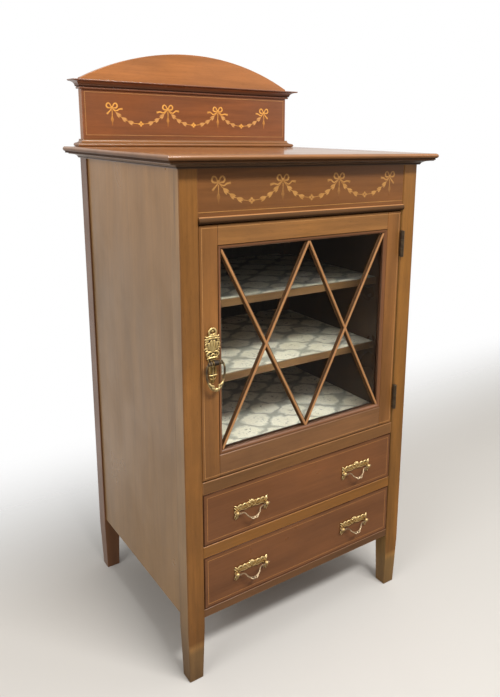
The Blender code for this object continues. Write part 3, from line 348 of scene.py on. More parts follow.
def old_glass(name):
    """Drawn window glass: clear, with slow ripples, so that reflections bend a little."""
    made, tree = new_material(name)
    place = add(tree, PLACE, out="Object")
    ripple = add(tree, NOISE, {"Vector": place, "Scale": 1 / 0.060, "Detail": 1.0}, out="Fac")
    normal = add(tree, BUMP, {"Strength": 0.10, "Distance": 0.4 * MM, "Height": ripple})
    pane = add(tree, SHADER, {"Base Color": linear("#FDFEFD"), "Roughness": 0.0, "IOR": 1.5,
                              "Transmission Weight": 1.0, "Normal": normal})
    clear = add(tree, "ShaderNodeBsdfTransparent", {"Color": linear("#FAFCFA")})
    shadow = add(tree, PATH, out="Is Shadow Ray")
    add(tree, OUTPUT, {"Surface": add(tree, BLEND, {0: shadow, 1: pane, 2: clear})})
    return made


def lining_paper(name):
    """Machine-printed wall paper, used as a shelf lining: matt off-white with a wide grey trellis of leafy
    bands and small specks in its fields, yellowed a little and stained."""
    made, tree = new_material(name)
    place = add(tree, PLACE, out="Object")
    bend = add(tree, NOISE, {"Vector": place, "Scale": 1 / 0.022, "Detail": 3.0}, out="Color")
    warped = add(tree, VECTORS, {0: bend, 1: (0.030, 0.030, 0.0), 2: place}, operation="MULTIPLY_ADD")
    flat = add(tree, SPLIT, {0: warped}).node.outputs
    deep = add(tree, MATH, {0: flat[1], 1: 1 / 0.074}, operation="MULTIPLY")
    rising = add(tree, MATH, {0: flat[0], 1: 1 / 0.088, 2: deep}, operation="MULTIPLY_ADD")
    back = add(tree, MATH, {0: deep, 1: -1.0}, operation="MULTIPLY")
    falling = add(tree, MATH, {0: flat[0], 1: 1 / 0.088, 2: back}, operation="MULTIPLY_ADD")
    near_rising = add(tree, MATH, {0: rising, 1: 0.5}, operation="PINGPONG")
    near_falling = add(tree, MATH, {0: falling, 1: 0.5}, operation="PINGPONG")
    nearest = add(tree, MATH, {0: near_rising, 1: near_falling}, operation="MULTIPLY")
    band = add(tree, RANGE, {0: nearest, 1: 0.008, 2: 0.045, 3: 0.66, 4: 0.0})
    dots = add(tree, "ShaderNodeTexVoronoi", {"Vector": warped, "Scale": 1 / 0.0065}, out="Distance")
    field = add(tree, RANGE, {0: nearest, 1: 0.06, 2: 0.15, 3: 0.0, 4: 0.8})
    specks = add(tree, MATH, {0: add(tree, RANGE, {0: dots, 1: 0.18, 2: 0.36, 3: 1.0, 4: 0.0}), 1: field},
                 operation="MULTIPLY")
    printed = add(tree, MATH, {0: band, 1: specks}, operation="MAXIMUM")
    stain = add(tree, NOISE, {"Vector": place, "Scale": 1 / 0.090, "Detail": 3.0}, out="Fac")
    ground = add(tree, MIX, {0: add(tree, RANGE, {0: stain, 1: 0.35, 2: 0.70}), 6: linear("#E4DECD"),
                             7: linear("#CFC7AE")}, **COLOURS)
    toned = add(tree, MIX, {0: printed, 6: ground, 7: linear("#6F7069")}, **COLOURS)
    fibre = add(tree, NOISE, {"Vector": place, "Scale": 1 / 0.0015, "Detail": 2.0}, out="Fac")
    normal = add(tree, BUMP, {"Strength": 0.3, "Distance": 0.05 * MM, "Height": fibre})
    finish = add(tree, SHADER, {"Base Color": toned, "Roughness": 0.85, "Normal": normal})
    add(tree, OUTPUT, {"Surface": finish})
    return made


# Meshes

def finished(name, bm, material, body, slot, *nodes, smooth=32):
    """A finished piece from a bmesh: shaded, riding on its body, in place of the CAD nodes it replaces."""
    mesh = bpy.data.meshes.new(name)
    bm.to_mesh(mesh)
    bm.free()
    return placed(name, mesh, material, body, slot, *nodes, smooth=smooth)


def placed(name, mesh, material, body, slot, *nodes, smooth=32):
    """A finished piece from a mesh."""
    mesh.materials.clear()
    mesh.materials.append(material)
    if smooth:
        mesh.shade_smooth()
        mesh.set_sharp_from_angle(angle=radians(smooth))
    obj = bpy.data.objects.new(name, mesh)
    scene.collection.objects.link(obj)
    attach(obj, body)
    if nodes:
        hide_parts(*nodes)
    return obj


def applied(obj):
    """The plain mesh of an object with its modifiers applied. The object goes."""
    bpy.context.view_layer.update()
    graph = bpy.context.evaluated_depsgraph_get()
    mesh = bpy.data.meshes.new_from_object(obj.evaluated_get(graph))
    bpy.data.objects.remove(obj)
    return mesh


def merge(bm, part):
    """Adds a part to a bmesh. The part goes."""
    mesh = bpy.data.meshes.new("part")
    part.to_mesh(mesh)
    part.free()
    bm.from_mesh(mesh)
    bpy.data.meshes.remove(mesh)


def loft(bm, rings, closed=False, shade=None):
    """Adds a body through rings of points. Its UV map holds metres: along the runs, and round the rings. The
    shade is a function that gives a point's share of scorching on inlay, or of dirt and painted shade on
    mouldings, from its ring's number and its own."""
    uv = bm.loops.layers.uv.verify()
    layer = bm.verts.layers.float.get("shade") or bm.verts.layers.float.new("shade")
    loops = [[bm.verts.new(point) for point in ring] for ring in rings]
    for i, ring in enumerate(loops):
        for k, vertex in enumerate(ring):
            vertex[layer] = shade(i, k) if shade else 0.0
    count = len(rings[0])
    rounds = [0.0]
    for i in range(count):
        rounds.append(rounds[-1] + (Vector(rings[0][(i + 1) % count]) - Vector(rings[0][i])).length)
    pairs = [(k, (k + 1) % len(rings)) for k in range(len(rings) if closed else len(rings) - 1)]
    faces = []
    along = 0.0
    for near, far in pairs:
        step = (Vector(rings[far][0]) - Vector(rings[near][0])).length
        for i in range(count):
            j = (i + 1) % count
            face = bm.faces.new((loops[near][i], loops[near][j], loops[far][j], loops[far][i]))
            corners = ((along, rounds[i]), (along, rounds[i + 1]), (along + step, rounds[i + 1]),
                       (along + step, rounds[i]))
            for corner, value in zip(face.loops, corners):
                corner[uv].uv = value
            faces.append(face)
        along += step
    if not closed:
        faces.append(bm.faces.new(loops[0][::-1]))
        faces.append(bm.faces.new(loops[-1]))
    bmesh.ops.recalc_face_normals(bm, faces=faces)


def mitred_rings(corners, profile, closed, place):
    """Rings of a moulding with mitred corners: (u, v) corners, and a profile of (reach, level) points with
    the reach to the right of the way."""
    count = len(corners)
    rings = []
    for i, corner in enumerate(corners):
        here = Vector(corner)
        ways = []
        if closed or i > 0:
            ways.append((here - Vector(corners[i - 1])).normalized())
        if closed or i < count - 1:
            ways.append((Vector(corners[(i + 1) % count]) - here).normalized())
        sides = [Vector((way.y, -way.x)) for way in ways]
        mitre = sum(sides, Vector((0, 0)))
        mitre /= mitre.dot(sides[0])
        rings.append([place(*(here + mitre * reach), level) for reach, level in profile])
    return rings


def plan(u, v, w):
    return (u, v, w)


def elevation(u, v, w):
    return (u, w, v)


def arc(centre_u, centre_v, radius_u, radius_v, start, end, steps):
    turns = [start + (end - start) * i / steps for i in range(steps + 1)]
    return [(centre_u + radius_u * cos(turn), centre_v + radius_v * sin(turn)) for turn in turns]


def cove(near, far, low, high, steps=10):
    turns = [pi / 2 * i / steps for i in range(steps + 1)]
    return [(near + (far - near) * (1 - cos(turn)), low + (high - low) * sin(turn)) for turn in turns]


def curved(points, steps=6):
    """A smooth line through points of any count of values."""
    made = []
    last = len(points) - 1
    for i in range(last):
        p0, p1, p2, p3 = (np.array(points[min(max(k, 0), last)], float) for k in (i - 1, i, i + 1, i + 2))
        for step in range(steps):
            t = step / steps
            made.append(0.5 * (2 * p1 + (p2 - p0) * t + (2 * p0 - 5 * p1 + 4 * p2 - p3) * t ** 2
                               + (3 * p1 - p0 - 3 * p2 + p3) * t ** 3))
    return made + [np.array(points[-1], float)]


def size_of(node):
    """A CAD node's lowest corner, highest corner and size."""
    low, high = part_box(node)
    return low, high, high - low


def joint_place(name):
    """A point on a joint's axis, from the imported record."""
    joint = next(j for j in frame["joints"] if j["name"] == name)
    return Vector(joint["pos_m"])


# Sizes read from the frame
top_low, top_high, top_size = size_of("top_board")
gallery_low, gallery_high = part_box("gallery_board")
cove_low, cove_high, cove_size = size_of("top_moulding")
cornice_low, cornice_high, cornice_size = size_of("gallery_cornice")
base_low, base_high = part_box("gallery_base_moulding")
bead_low, bead_high, bead_size = size_of("frieze_bead")
frieze_low, frieze_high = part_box("frieze_panel")
sight_low, sight_high, sight_size = size_of("door_moulding")
bars_low, bars_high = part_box("door_astragals")
leg_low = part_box("leg_front_left")[0]
stile_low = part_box("door_stile_left")[0]
half_width = -leg_low.x
door_face = stile_low.y
TINY = 0.3 * MM


# Wood: boards keep their CAD solids and get their polish here

# Tints that are multiplied over a part of a board, and where two of them end and fade. Most paint shade:
# inside the case, on the gallery under its cornice, on the fronts of the front legs and of the cove, which
# are darker than their sides, and on the sides lower down. The feet get darker towards the floor.
INSIDE_SHADE = "#7C736C"
IN_SHADE = "#C2B4B4"
LEG_FACE_SHADE = "#CBBAA5"
COVE_FRONT_SHADE = "#C5C5C5"
LOWER_SHADE_TINT = "#DAE2F4"
LOWER_SHADE_FADE = (840 * MM, 220 * MM)
DARK_FOOT = "#C8C2B8"
FOOT_TOP = 120 * MM

# Node, grain, colour under the polish, and how strong its figure is. Each colour holds the light and shade
# that fall on its board, painted in with the wood's tone; the back legs, the cupboard floor and the glazing
# bead are painted dark as shade.
BOARDS = (
    ("leg_front_left", "Z", "#A67943", 0.9), ("leg_front_right", "Z", "#AE8042", 0.9),
    ("leg_back_left", "Z", "#70482A", 0.6), ("leg_back_right", "Z", "#70482A", 0.6),
    ("frieze_panel", "X", "#784C27", 0.7), ("cupboard_rail", "X", "#76502C", 0.7),
    ("drawer_divider", "X", "#825524", 0.7), ("bottom_board", "X", "#66452A", 0.7),
    ("door_stile_left", "Z", "#885A2E", 0.9), ("door_stile_right", "Z", "#86582C", 0.9),
    ("door_rail_top", "X", "#906234", 0.9), ("door_rail_bottom", "X", "#785232", 0.8),
    ("cupboard_floor", "X", "#2E1C11", 0.5), ("shelf_lower", "X", "#7A5A38", 0.5),
    ("shelf_upper", "X", "#7A5A38", 0.5),
    ("glazing_bead", "Z", "#2E1C11", 0.5),
)
# The back panel is painted dark as shade inside the case
PLAIN_BOARDS = (
    ("back_panel", "Z", "#1D140D", "#35251A"),
    ("drawer_guide_lower_left", "Y", "#7D5C3A", "#A5835A"),
    ("drawer_guide_lower_right", "Y", "#7D5C3A", "#A5835A"),
    ("drawer_guide_upper_left", "Y", "#7D5C3A", "#A5835A"),
    ("drawer_guide_upper_right", "Y", "#7D5C3A", "#A5835A"),
)
RUBBED_AND_HIGHLIT = ("cupboard_rail", "drawer_divider", "bottom_board")
DRAWER_BOARDS = (("side_left", "Y"), ("side_right", "Y"), ("back", "X"), ("bottom", "X"))


def dress(node, material):
    """Gives a CAD node a finish in place of its plain one."""
    obj = frame["nodes"][node]
    if not obj.data.materials:
        obj.data.materials.append(material)
    for i in range(len(obj.data.materials)):
        obj.data.materials[i] = material


def dress_boards():
    for seed, (node, grain, colour, figure) in enumerate(BOARDS):
        worn = LEG_EDGE_GREASE_AND_SHADOW if node.startswith("leg") else RAIL_WEAR_AND_HIGHLIGHT if node in RUBBED_AND_HIGHLIT else BOARD_WEAR_AND_HIGHLIGHT
        zones = []
        # Painted light on the front legs: their fronts darker than their sides, and the other faces darker
        # lower down; their feet darker towards the floor
        if node.startswith("leg_front"):
            face = leg_low.y + FACE_DEPTH
            zones = [(LEG_FACE_SHADE, [("Y", face, -1, TINY)]), (DARK_FOOT, [("Z", FOOT_TOP, -1, FOOT_TOP)]),
                     (LOWER_SHADE_TINT, [("Y", face, 1, TINY), ("Z", LOWER_SHADE_FADE[0], -1, LOWER_SHADE_FADE[1])])]
        dress(node, polished_mahogany(node, grain, colour, seed, figure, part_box(node), worn, zones=zones))
    for seed, (side, hand) in enumerate(((-1, "left"), (1, "right"))):
        node = "side_panel_" + hand
        low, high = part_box(node)
        middle = (low.x + high.x) / 2
        # Painted shade on the side panels: their inner faces dark, and the whole panel darker lower down
        zones = [(INSIDE_SHADE, [("X", middle, -side, TINY)]),
                 (LOWER_SHADE_TINT, [("Z", LOWER_SHADE_FADE[0], -1, LOWER_SHADE_FADE[1])])]
        dress(node, polished_mahogany(node, "Z", "#A37641", seed + 40, 0.5, zones=zones, coat=0.04))
    shaded = (IN_SHADE, [("Z", cornice_low.z, -1, TINY), ("Y", gallery_low.y + FACE_DEPTH, -1, TINY)])
    dress("gallery_board", polished_mahogany("gallery_board", "X", "#A86B3A", 51, 0.8,
                                             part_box("gallery_board"), zones=[shaded]))
    # The drawer fronts' edges are darkened with grease and as a painted shadow of the gaps round them
    for seed, (word, colour) in enumerate((("lower", "#72482A"), ("upper", "#764A2A"))):
        node = f"drawer_{word}_front"
        dress(node, polished_mahogany(node, "X", colour, seed + 54, 0.6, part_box(node), DRAWER_EDGE_GREASE_AND_SHADOW))
    for seed, (node, grain, dark, light) in enumerate(PLAIN_BOARDS):
        dress(node, plain_wood("plain_wood_" + node, grain, dark, light, seed + 60))
    for word in ("lower", "upper"):
        for seed, (board, grain) in enumerate(DRAWER_BOARDS):
            node = f"drawer_{word}_{board}"
            dress(node, plain_wood("drawer_lining_" + node, grain, "#6A4027", "#8E5E3C", seed + 70))


# Mouldings: run again with their full profiles

# Painted shade on the top's edge, from its underside up and over the nose: darkest underneath, none on the
# upper nose, and a thin painted dark line just under its top
NOSE_SHADE = (0.85, 0.85, 0.75, 0.7, 0.65, 0.6, 0.55, 0.5, 0.45, 0.4, 0.25, 0.05, 0.0, 0.0, 0.0, 0.2, 0.55,
              0.0)
# The bars' fillets and the foot of their rib are darkened by dirt and by painted shade; the crown keeps the
# bars' lighter colour
BAR_DIRT_AND_SHADE = [(0, 2, 0.8), (3, 5, 0.85), (6, 7, 0.45), (15, 16, 0.45), (17, 19, 0.85), (20, 22, 0.8)]
BAR_HALF = 4.5 * MM
BAR_RIB = 2.6 * MM
BAR_EASE = 0.5 * MM


def dirt_and_shade_spans(shares):
    """A loft's dirt and painted shade from (first point, last point, share) spans of its profile."""
    return lambda ring, point: max((share for first, last, share in shares if first <= point <= last),
                                   default=0.0)


def case_corners(half, face, rear):
    return [(-half, rear), (-half, face), (half, face), (half, rear)]


def make_run(name, corners, profile, place, dirt, material, body, node, closed=False):
    """A mitred moulding along its corners, with dirt and painted shade in its quirks, which stands for a CAD
    node.
    """
    bm = bmesh.new()
    loft(bm, mitred_rings(corners, profile, closed, place), closed=closed, shade=dirt_and_shade_spans(dirt))
    finished(name, bm, material, body, "mahogany", node)


def make_top_board(material):
    """The top: a half-round nose over a small step on the front and the ends."""
    radius = top_size.z * 0.37
    middle = top_high.z - radius
    nose = arc(radius, middle, -radius, radius, -pi / 2, pi / 2, 16)
    insets = [(radius * 0.94, top_low.z), (radius * 0.94, middle - radius * 1.02), *nose[1:]]
    rings = []
    for inset, height in insets:
        x, y = top_high.x - inset, top_low.y + inset
        rings.append([(-x, y, height), (x, y, height), (x, top_high.y, height), (-x, top_high.y, height)])
    bm = bmesh.new()
    loft(bm, rings, shade=lambda i, k: NOSE_SHADE[i])
    finished("top_board_polished", bm, material, "cabinet", "mahogany", "top_board")


def make_cove(material):
    """The cove under the top, with a fillet at each edge."""
    reach = cove_high.x - half_width
    low, high = cove_low.z, cove_high.z
    fillet = cove_size.z * 0.14
    foot = reach * 0.17
    face = cove_low.y + reach
    profile = [(TINY, high), (TINY, low), (foot, low), (foot, low + fillet)]
    profile += cove(foot + fillet * 0.6, reach - fillet * 0.2, low + fillet, high - fillet)
    profile += [(reach, high - fillet), (reach, high)]
    make_run("top_moulding_run", case_corners(half_width, face, cove_high.y), profile, plan,
             [(4, 5, 0.75), (6, 7, 0.35), (12, 14, 0.45)], material, "cabinet", "top_moulding")


def make_gallery_mouldings(cornice_wood, base_wood):
    """The cornice of the gallery: a bead, a cove and a band. Its base moulding: a round and a hollow."""
    corners = case_corners(gallery_high.x, gallery_low.y, gallery_high.y)
    reach = cornice_high.x - gallery_high.x
    low, high = cornice_low.z, cornice_high.z
    bead = cornice_size.z * 0.26
    band = cornice_size.z * 0.13
    profile = [(TINY, high), (TINY, low)]
    profile += arc(reach * 0.12, low + bead / 2, bead / 2, bead / 2, -pi / 2, pi / 2, 8)
    profile += [(reach * 0.27, low + bead * 1.04), (reach * 0.27, low + bead * 1.2)]
    profile += cove(reach * 0.31, reach * 0.93, low + bead * 1.2, high - band * 1.25)
    profile += [(reach * 0.93, high - band)]
    profile += arc(reach * 0.97, high - band / 2, reach * 0.03, band / 2, -pi / 2, pi / 2, 6)
    make_run("gallery_cornice_run", corners, profile, plan, [(11, 13, 0.7), (14, 16, 0.3), (22, 24, 0.3)],
             cornice_wood, "cabinet", "gallery_cornice")

    reach = base_high.x - gallery_high.x
    low, high = base_low.z, base_high.z
    seat = top_high.z + TINY
    radius = (high - seat) * 0.24
    nose = reach - radius
    hollow = cove(reach * 0.25, nose, high - radius * 0.4, seat + 2 * radius + TINY)
    profile = [(TINY, high), (TINY, low), (nose, low)]
    profile += arc(nose, seat + radius, radius, radius, -pi / 2, pi / 2, 10)
    profile += [*hollow[-2::-1], (reach * 0.25, high)]
    make_run("gallery_base_moulding_run", corners, profile, plan, [(13, 14, 0.7), (15, 16, 0.3)], base_wood,
             "cabinet", "gallery_base_moulding")


def make_frieze_bead(material):
    half = bead_size.z / 2
    outline = [(bead_high.y, bead_high.z), (bead_high.y, bead_low.z)]
    outline += arc(bead_low.y + half, bead_low.z + half, -half, half, -pi / 2, pi / 2, 18)
    rings = [[(x, y, z) for y, z in outline] for x in (bead_low.x, bead_high.x)]
    bm = bmesh.new()
    # The bead is painted in shade over its lower half, with dirt, and left pale along its top in a line that
    # is partly wear and partly a painted highlight
    loft(bm, rings, shade=dirt_and_shade_spans([(0, 9, 0.92), (10, 15, 0.84), (16, 16, 0.5), (17, 18, 0.0), (19, 19, 0.2),
                                 (20, 20, 0.5)]))
    finished("frieze_bead_round", bm, material, "cabinet", "mahogany", "frieze_bead")


def make_sight_moulding(material):
    """The quarter-round that frames the glass, with a small quirk at its outer edge."""
    width = sight_size.x / 2 - bars_high.x
    deep, shallow = sight_high.y, sight_low.y
    depth = deep - shallow
    round_depth = depth * 0.66
    profile = [(width, deep), (0, deep)]
    profile += [(0, shallow + round_depth * 0.42), (width * 0.10, shallow + round_depth * 0.42)]
    profile += arc(width * 0.10, shallow + round_depth, width * 0.90, -round_depth, pi / 2, 0, 12)
    x, low, high = sight_high.x, sight_low.z, sight_high.z
    make_run("door_sight_moulding", rectangle(-x, x, low, high), profile, elevation,
             [(0, 3, 0.6), (4, 4, 0.15), (13, 14, 0.35), (15, 16, 0.7)], material, "door", "door_moulding",
             True)


def trim(bm, planes):
    """Cuts off what lies past each plane (axis, level, side), and closes the cut."""
    for axis, level, side in planes:
        spot, normal = Vector((0, 0, 0)), Vector((0, 0, 0))
        spot[axis], normal[axis] = level, side
        whole = bm.verts[:] + bm.edges[:] + bm.faces[:]
        bmesh.ops.bisect_plane(bm, geom=whole, plane_co=spot, plane_no=normal, clear_outer=True)
        open_edges = [edge for edge in bm.edges if edge.is_boundary]
        if open_edges:
            bmesh.ops.holes_fill(bm, edges=open_edges)


def make_astragals(material):
    """The slanted bars: a half-round rib on two flat fillets, cut to the sight moulding at each end."""
    deep, shallow = bars_high.y, bars_low.y
    depth = deep - shallow
    fillet = deep - depth * 0.38
    side_of_bar = [(BAR_HALF, deep), (BAR_HALF, fillet + BAR_EASE), (BAR_HALF - BAR_EASE, fillet),
                   (BAR_RIB, fillet)]
    profile = [*side_of_bar, *arc(0, shallow + BAR_RIB, BAR_RIB, -BAR_RIB, 0, pi, 14),
               *[(-u, level) for u, level in side_of_bar[::-1]]]
    x, low, high = bars_high.x, bars_low.z, bars_high.z
    lattice = bmesh.new()
    for side in (-1, 1):
        for edge, middle in ((low, high), (high, low)):
            start, end = Vector((side * x, edge)), Vector((0, middle))
            way = (end - start).normalized()
            across = Vector((way.y, -way.x))
            rings = []
            for point in (start - way * BAR_HALF * 4, end + way * BAR_HALF * 4):
                rings.append([elevation(*(point + across * u), level) for u, level in profile])
            bar = bmesh.new()
            loft(bar, rings, shade=dirt_and_shade_spans(BAR_DIRT_AND_SHADE))
            trim(bar, ((0, -x, -1), (0, x, 1), (2, low, -1), (2, high, 1)))
            merge(lattice, bar)
    finished("door_astragals_run", lattice, material, "door", "mahogany", "door_astragals", smooth=28)


# Inlay: thin pieces let into the front faces, each a closed body that stands a hair proud

def make_strip(name, path, face, closed, material, body):
    """A boxwood line along a path of the front view, with mitred corners."""
    half = STRING_WIDTH / 2
    profile = [(-half, face + INLAY_SUNK), (half, face + INLAY_SUNK), (half, face - INLAY_PROUD),
               (-half, face - INLAY_PROUD)]
    bm = bmesh.new()
    loft(bm, mitred_rings(path, profile, closed, elevation), closed=closed)
    finished(name, bm, material, body, "mahogany", smooth=0)


def rectangle(low_x, high_x, low_z, high_z):
    return [(low_x, low_z), (low_x, high_z), (high_x, high_z), (high_x, low_z)]


def inset_box(low, high, inset):
    return rectangle(low.x + inset, high.x - inset, low.z + inset, high.z - inset)


def inlay_shape(bm, outline, face, scorches, lift):
    """A flat piece of veneer from its outline; the scorches are its shading by hot sand, one value for each
    point."""
    levels = (face + INLAY_SUNK, face - INLAY_PROUD - lift)
    loft(bm, [[elevation(u, v, level) for u, v in outline] for level in levels], shade=lambda i,
         k: scorches[k])


def ribbon(bm, points, widths, face, lift, scorch=0.5):
    """A ribbon of veneer that widens and narrows along a smooth path; it rises a hair on its way, over
    itself."""
    path = [Vector(p) for p in curved(points, 5)]
    spread = curved([(w,) for w in widths], 5)
    last = len(path) - 1
    rings = []
    for i, here in enumerate(path):
        way = (path[min(i + 1, last)] - path[max(i - 1, 0)]).normalized()
        across = Vector((-way.y, way.x)) * spread[i][0] / 2
        front = face - INLAY_PROUD - lift - 0.02 * MM * i / last
        section = ((-1, face + INLAY_SUNK), (1, face + INLAY_SUNK), (1, front), (-1, front))
        rings.append([elevation(*(here + across * side), level) for side, level in section])
    loft(bm, rings, shade=lambda i, k: scorch * abs(2 * i / last - 1) ** 3)


def make_bow(bm, x, z, face):
    """A tied bow: two loops that rise from the knot, two floating tails, and a hanging drop with a bud. The
    end bows have a short tail that falls away on their outer side."""
    inward = -1 if x > 0 else 1
    end = abs(x) == max(BOW_PLACES)
    for side in (-1, 1):
        tail = BOW_TAILS[("end" if end else "middle") + ("_inner" if side == inward else "_outer")]
        for number, line in enumerate((BOW_LOOP, tail)):
            ribbon(bm, [(x + side * u * MM, z + v * MM) for u, v, width in line],
                   [w * MM for u, v, w in line], face,
                   (0.02 + 0.04 * number + 0.01 * side) * MM)
    knot = arc(x, z + 1.0 * MM, 2.6 * MM, 3.0 * MM, 0, 2 * pi, 16)[:-1]
    inlay_shape(bm, knot, face, [0.4 if v < z else 0.0 for u, v in knot], 0.12 * MM)
    ribbon(bm, [(x, z - 3 * MM), (x + 0.3 * MM, z - 9 * MM), (x, z - 16 * MM)],
           [1.6 * MM, 1.3 * MM, 1.2 * MM], face, 0.0)
    bud = [*BUD, *[(-u, v) for u, v in BUD[::-1]]]
    inlay_shape(bm, [(x + u * MM, z + v * MM) for u, v in bud], face,
                [0.35 + min(0.6, (-v - 14) / 30) for u, v in bud],
                0.03 * MM)


def make_flower(bm, x, z, face):
    """A four-petalled flower at the foot of each swag."""
    for i, (turn, reach) in enumerate(((0, 5.7), (pi / 2, 5.0), (pi, 5.7), (1.5 * pi, 5.0))):
        points = []
        for u, v in arc(reach * 0.56 * MM, 0, reach * 0.47 * MM, 2.1 * MM, 0, 2 * pi, 14)[:-1]:
            points.append((x + u * cos(turn) - v * sin(turn), z + u * sin(turn) + v * cos(turn)))
        inlay_shape(bm, points, face, [0.35 * max(0.0, cos(2 * pi * k / 14)) for k in range(14)],
                    (0.03 + 0.02 * i) * MM)
    inlay_shape(bm, arc(x, z, 1.3 * MM, 1.3 * MM, 0, 2 * pi, 12)[:-1], face, [0.8] * 12, 0.13 * MM)


def swag_half(start, end, drop):
    """Half of a hanging curve: from a bow, where it is steep, down to the middle of the span, where it is
    level."""
    shares = [i / 24 for i in range(25)]
    return [(start[0] + (end - start[0]) * t, start[1] - drop * (1 - (1 - t) ** SWAG_SAG)) for t in shares]


def stretch(path, first, last):
    """The points of a path between two distances along it."""
    lengths = [0.0]
    for here, after in zip(path, path[1:]):
        lengths.append(lengths[-1] + (Vector(after) - Vector(here)).length)
    stops = [first + (last - first) * i / 12 for i in range(13)]
    return [(np.interp(stop, lengths, [u for u, v in path]), np.interp(stop, lengths, [v for u, v in path]))
            for stop in stops]


def husk_petal(tree, given):
    """One petal: a disc drawn out to a point, its foot at the origin, scorched towards its point."""
    disc = add(tree, "GeometryNodeMeshCircle", {"Vertices": 14, "Radius": 0.5}, fill_type="NGON")
    spot = add(tree, SPLIT, {0: add(tree, "GeometryNodeInputPosition")}).node.outputs
    along = add(tree, MATH, {0: spot[0], 1: 0.5}, operation="ADD")
    slender = add(tree, RANGE, {0: along, 1: 0.0, 2: 0.55, 3: 0.55, 4: 1.0})
    taper = add(tree, RANGE, {0: along, 1: 0.70, 2: 1.0, 3: 1.0, 4: 0.30})
    shape = add(tree, MATH, {0: slender, 1: taper}, operation="MULTIPLY")
    wide = add(tree, MATH, {0: spot[1], 1: given["Husk Width"]}, operation="MULTIPLY")
    wide = add(tree, MATH, {0: wide, 1: shape}, operation="MULTIPLY")
    long = add(tree, MATH, {0: along, 1: given["Husk Length"]}, operation="MULTIPLY")
    drawn = add(tree, UNITE, {0: long, 1: wide})
    shaped = add(tree, "GeometryNodeSetPosition", {"Geometry": disc, "Position": drawn})
    scorch = add(tree, RANGE, {0: along, 1: 0.55, 2: 1.0, 3: 0.0, 4: 0.55})
    scorched = add(tree, "GeometryNodeStoreNamedAttribute",
                   {"Geometry": shaped, "Name": "shade", "Value": scorch},
                   data_type="FLOAT", domain="POINT")
    solid = add(tree, "GeometryNodeExtrudeMesh",
                {"Mesh": scorched, "Offset": add(tree, UNITE, {2: given["Thickness"]}), "Offset Scale": 1.0,
                 "Individual": False}, mode="FACES")
    foot = add(tree, "GeometryNodeFlipFaces", {"Mesh": scorched})
    both = add(tree, "GeometryNodeJoinGeometry", {0: [solid, foot]})
    return add(tree, "GeometryNodeMergeByDistance", {"Geometry": both, "Distance": 0.01 * MM})


def husk_tree():
    """Instances bell-flower husks along a path. Each husk has three pointed petals and opens towards the
    middle."""
    tree, given = new_group("Husks along a swag", "Husks", (
        ("Path", "Geometry", None), ("Husk Length", "Float", HUSK_LENGTH),
        ("Husk Width", "Float", HUSK_WIDTH),
        ("Pitch", "Float", HUSK_PITCH), ("Thickness", "Float", INLAY_PROUD + INLAY_SUNK),
        ("Spread", "Float", HUSK_SPREAD), ("Material", "Material", None)))
    petal = husk_petal(tree, given)
    petals = []
    for turn in (-1, 0, 1):
        angle = add(tree, MATH, {0: given["Spread"], 1: turn}, operation="MULTIPLY")
        petals.append(add(tree, SHIFT,
                          {"Geometry": petal, "Rotation": add(tree, UNITE, {2: angle}),
                           "Translation": (0.0, 0.0, (0.02 * turn + 0.02) * MM)}))
    husk = add(tree, "GeometryNodeJoinGeometry", {0: petals})

    # Each path starts near a bow and runs down towards the flower
    points = add(tree, "GeometryNodeCurveToPoints", {"Curve": given["Path"], "Length": given["Pitch"]},
                 mode="LENGTH")
    aimed = add(tree, AIM, {"Vector": points.node.outputs["Tangent"]}, axis="X",
                pivot_axis="Z")
    husks = add(tree, INSTANCES, {"Points": points, "Instance": husk, "Rotation": aimed})
    return close_group(tree, given, husks)


def grown(name, data, tree, **values):
    """The plain mesh that a tree makes from an object's data, with the tree's inputs set by name."""
    obj = bpy.data.objects.new(name, data)
    scene.collection.objects.link(obj)
    modifier = obj.modifiers.new(name, "NODES")
    modifier.node_group = tree
    for item in tree.interface.items_tree:
        if item.in_out == "INPUT" and item.name.replace(" ", "_") in values:
            modifier[item.identifier] = values[item.name.replace(" ", "_")]
    return applied(obj)


def poly_curve(name, lines):
    """A curve object's data with one straight-sided spline for each line of points."""
    curve = bpy.data.curves.new(name, "CURVE")
    curve.dimensions = "3D"
    for line in lines:
        spline = curve.splines.new("POLY")
        spline.points.add(len(line) - 1)
        for point, place in zip(spline.points, line):
            point.co = (*place, 1)
    return curve


def make_festoon(word, face, ribbons, leaves, tree):
    """Four bows and the three swags that hang between them: ribbons, flowers, and husks that follow the
    curves."""
    bm = bmesh.new()
    level = BOW_HEIGHTS[word]
    paths = []
    for x in BOW_PLACES:
        make_bow(bm, x, level, face)
    for left, right in zip(BOW_PLACES, BOW_PLACES[1:]):
        middle = (left + right) / 2
        for start in (left, right):
            half = swag_half((start, level), middle, SWAG_DROP)
            ribbon(bm, half[::3], [1.0 * MM] * 9, face, 0.0, 0.2)
            paths.append([(u, -v, 0.0) for u, v in stretch(half, SWAG_LEAD, SWAG_LEAD + 2.1 * HUSK_PITCH)])
        make_flower(bm, middle, level - SWAG_DROP, face)
    finished(f"{word}_bows_and_ribbons", bm, ribbons, "cabinet", "mahogany", smooth=0)
    mesh = grown(f"{word}_husks_path", poly_curve(f"{word}_swags", paths), tree, Material=leaves)
    # The paths lie in the floor plan, seen from below: turn the husks up into the front view
    mesh.transform(Matrix(((1, 0, 0, 0), (0, 0, -1, face + INLAY_SUNK), (0, -1, 0, 0), (0, 0, 0, 1))))
    mesh.flip_normals()
    placed(f"{word}_husks", mesh, leaves, "cabinet", "mahogany", smooth=0)


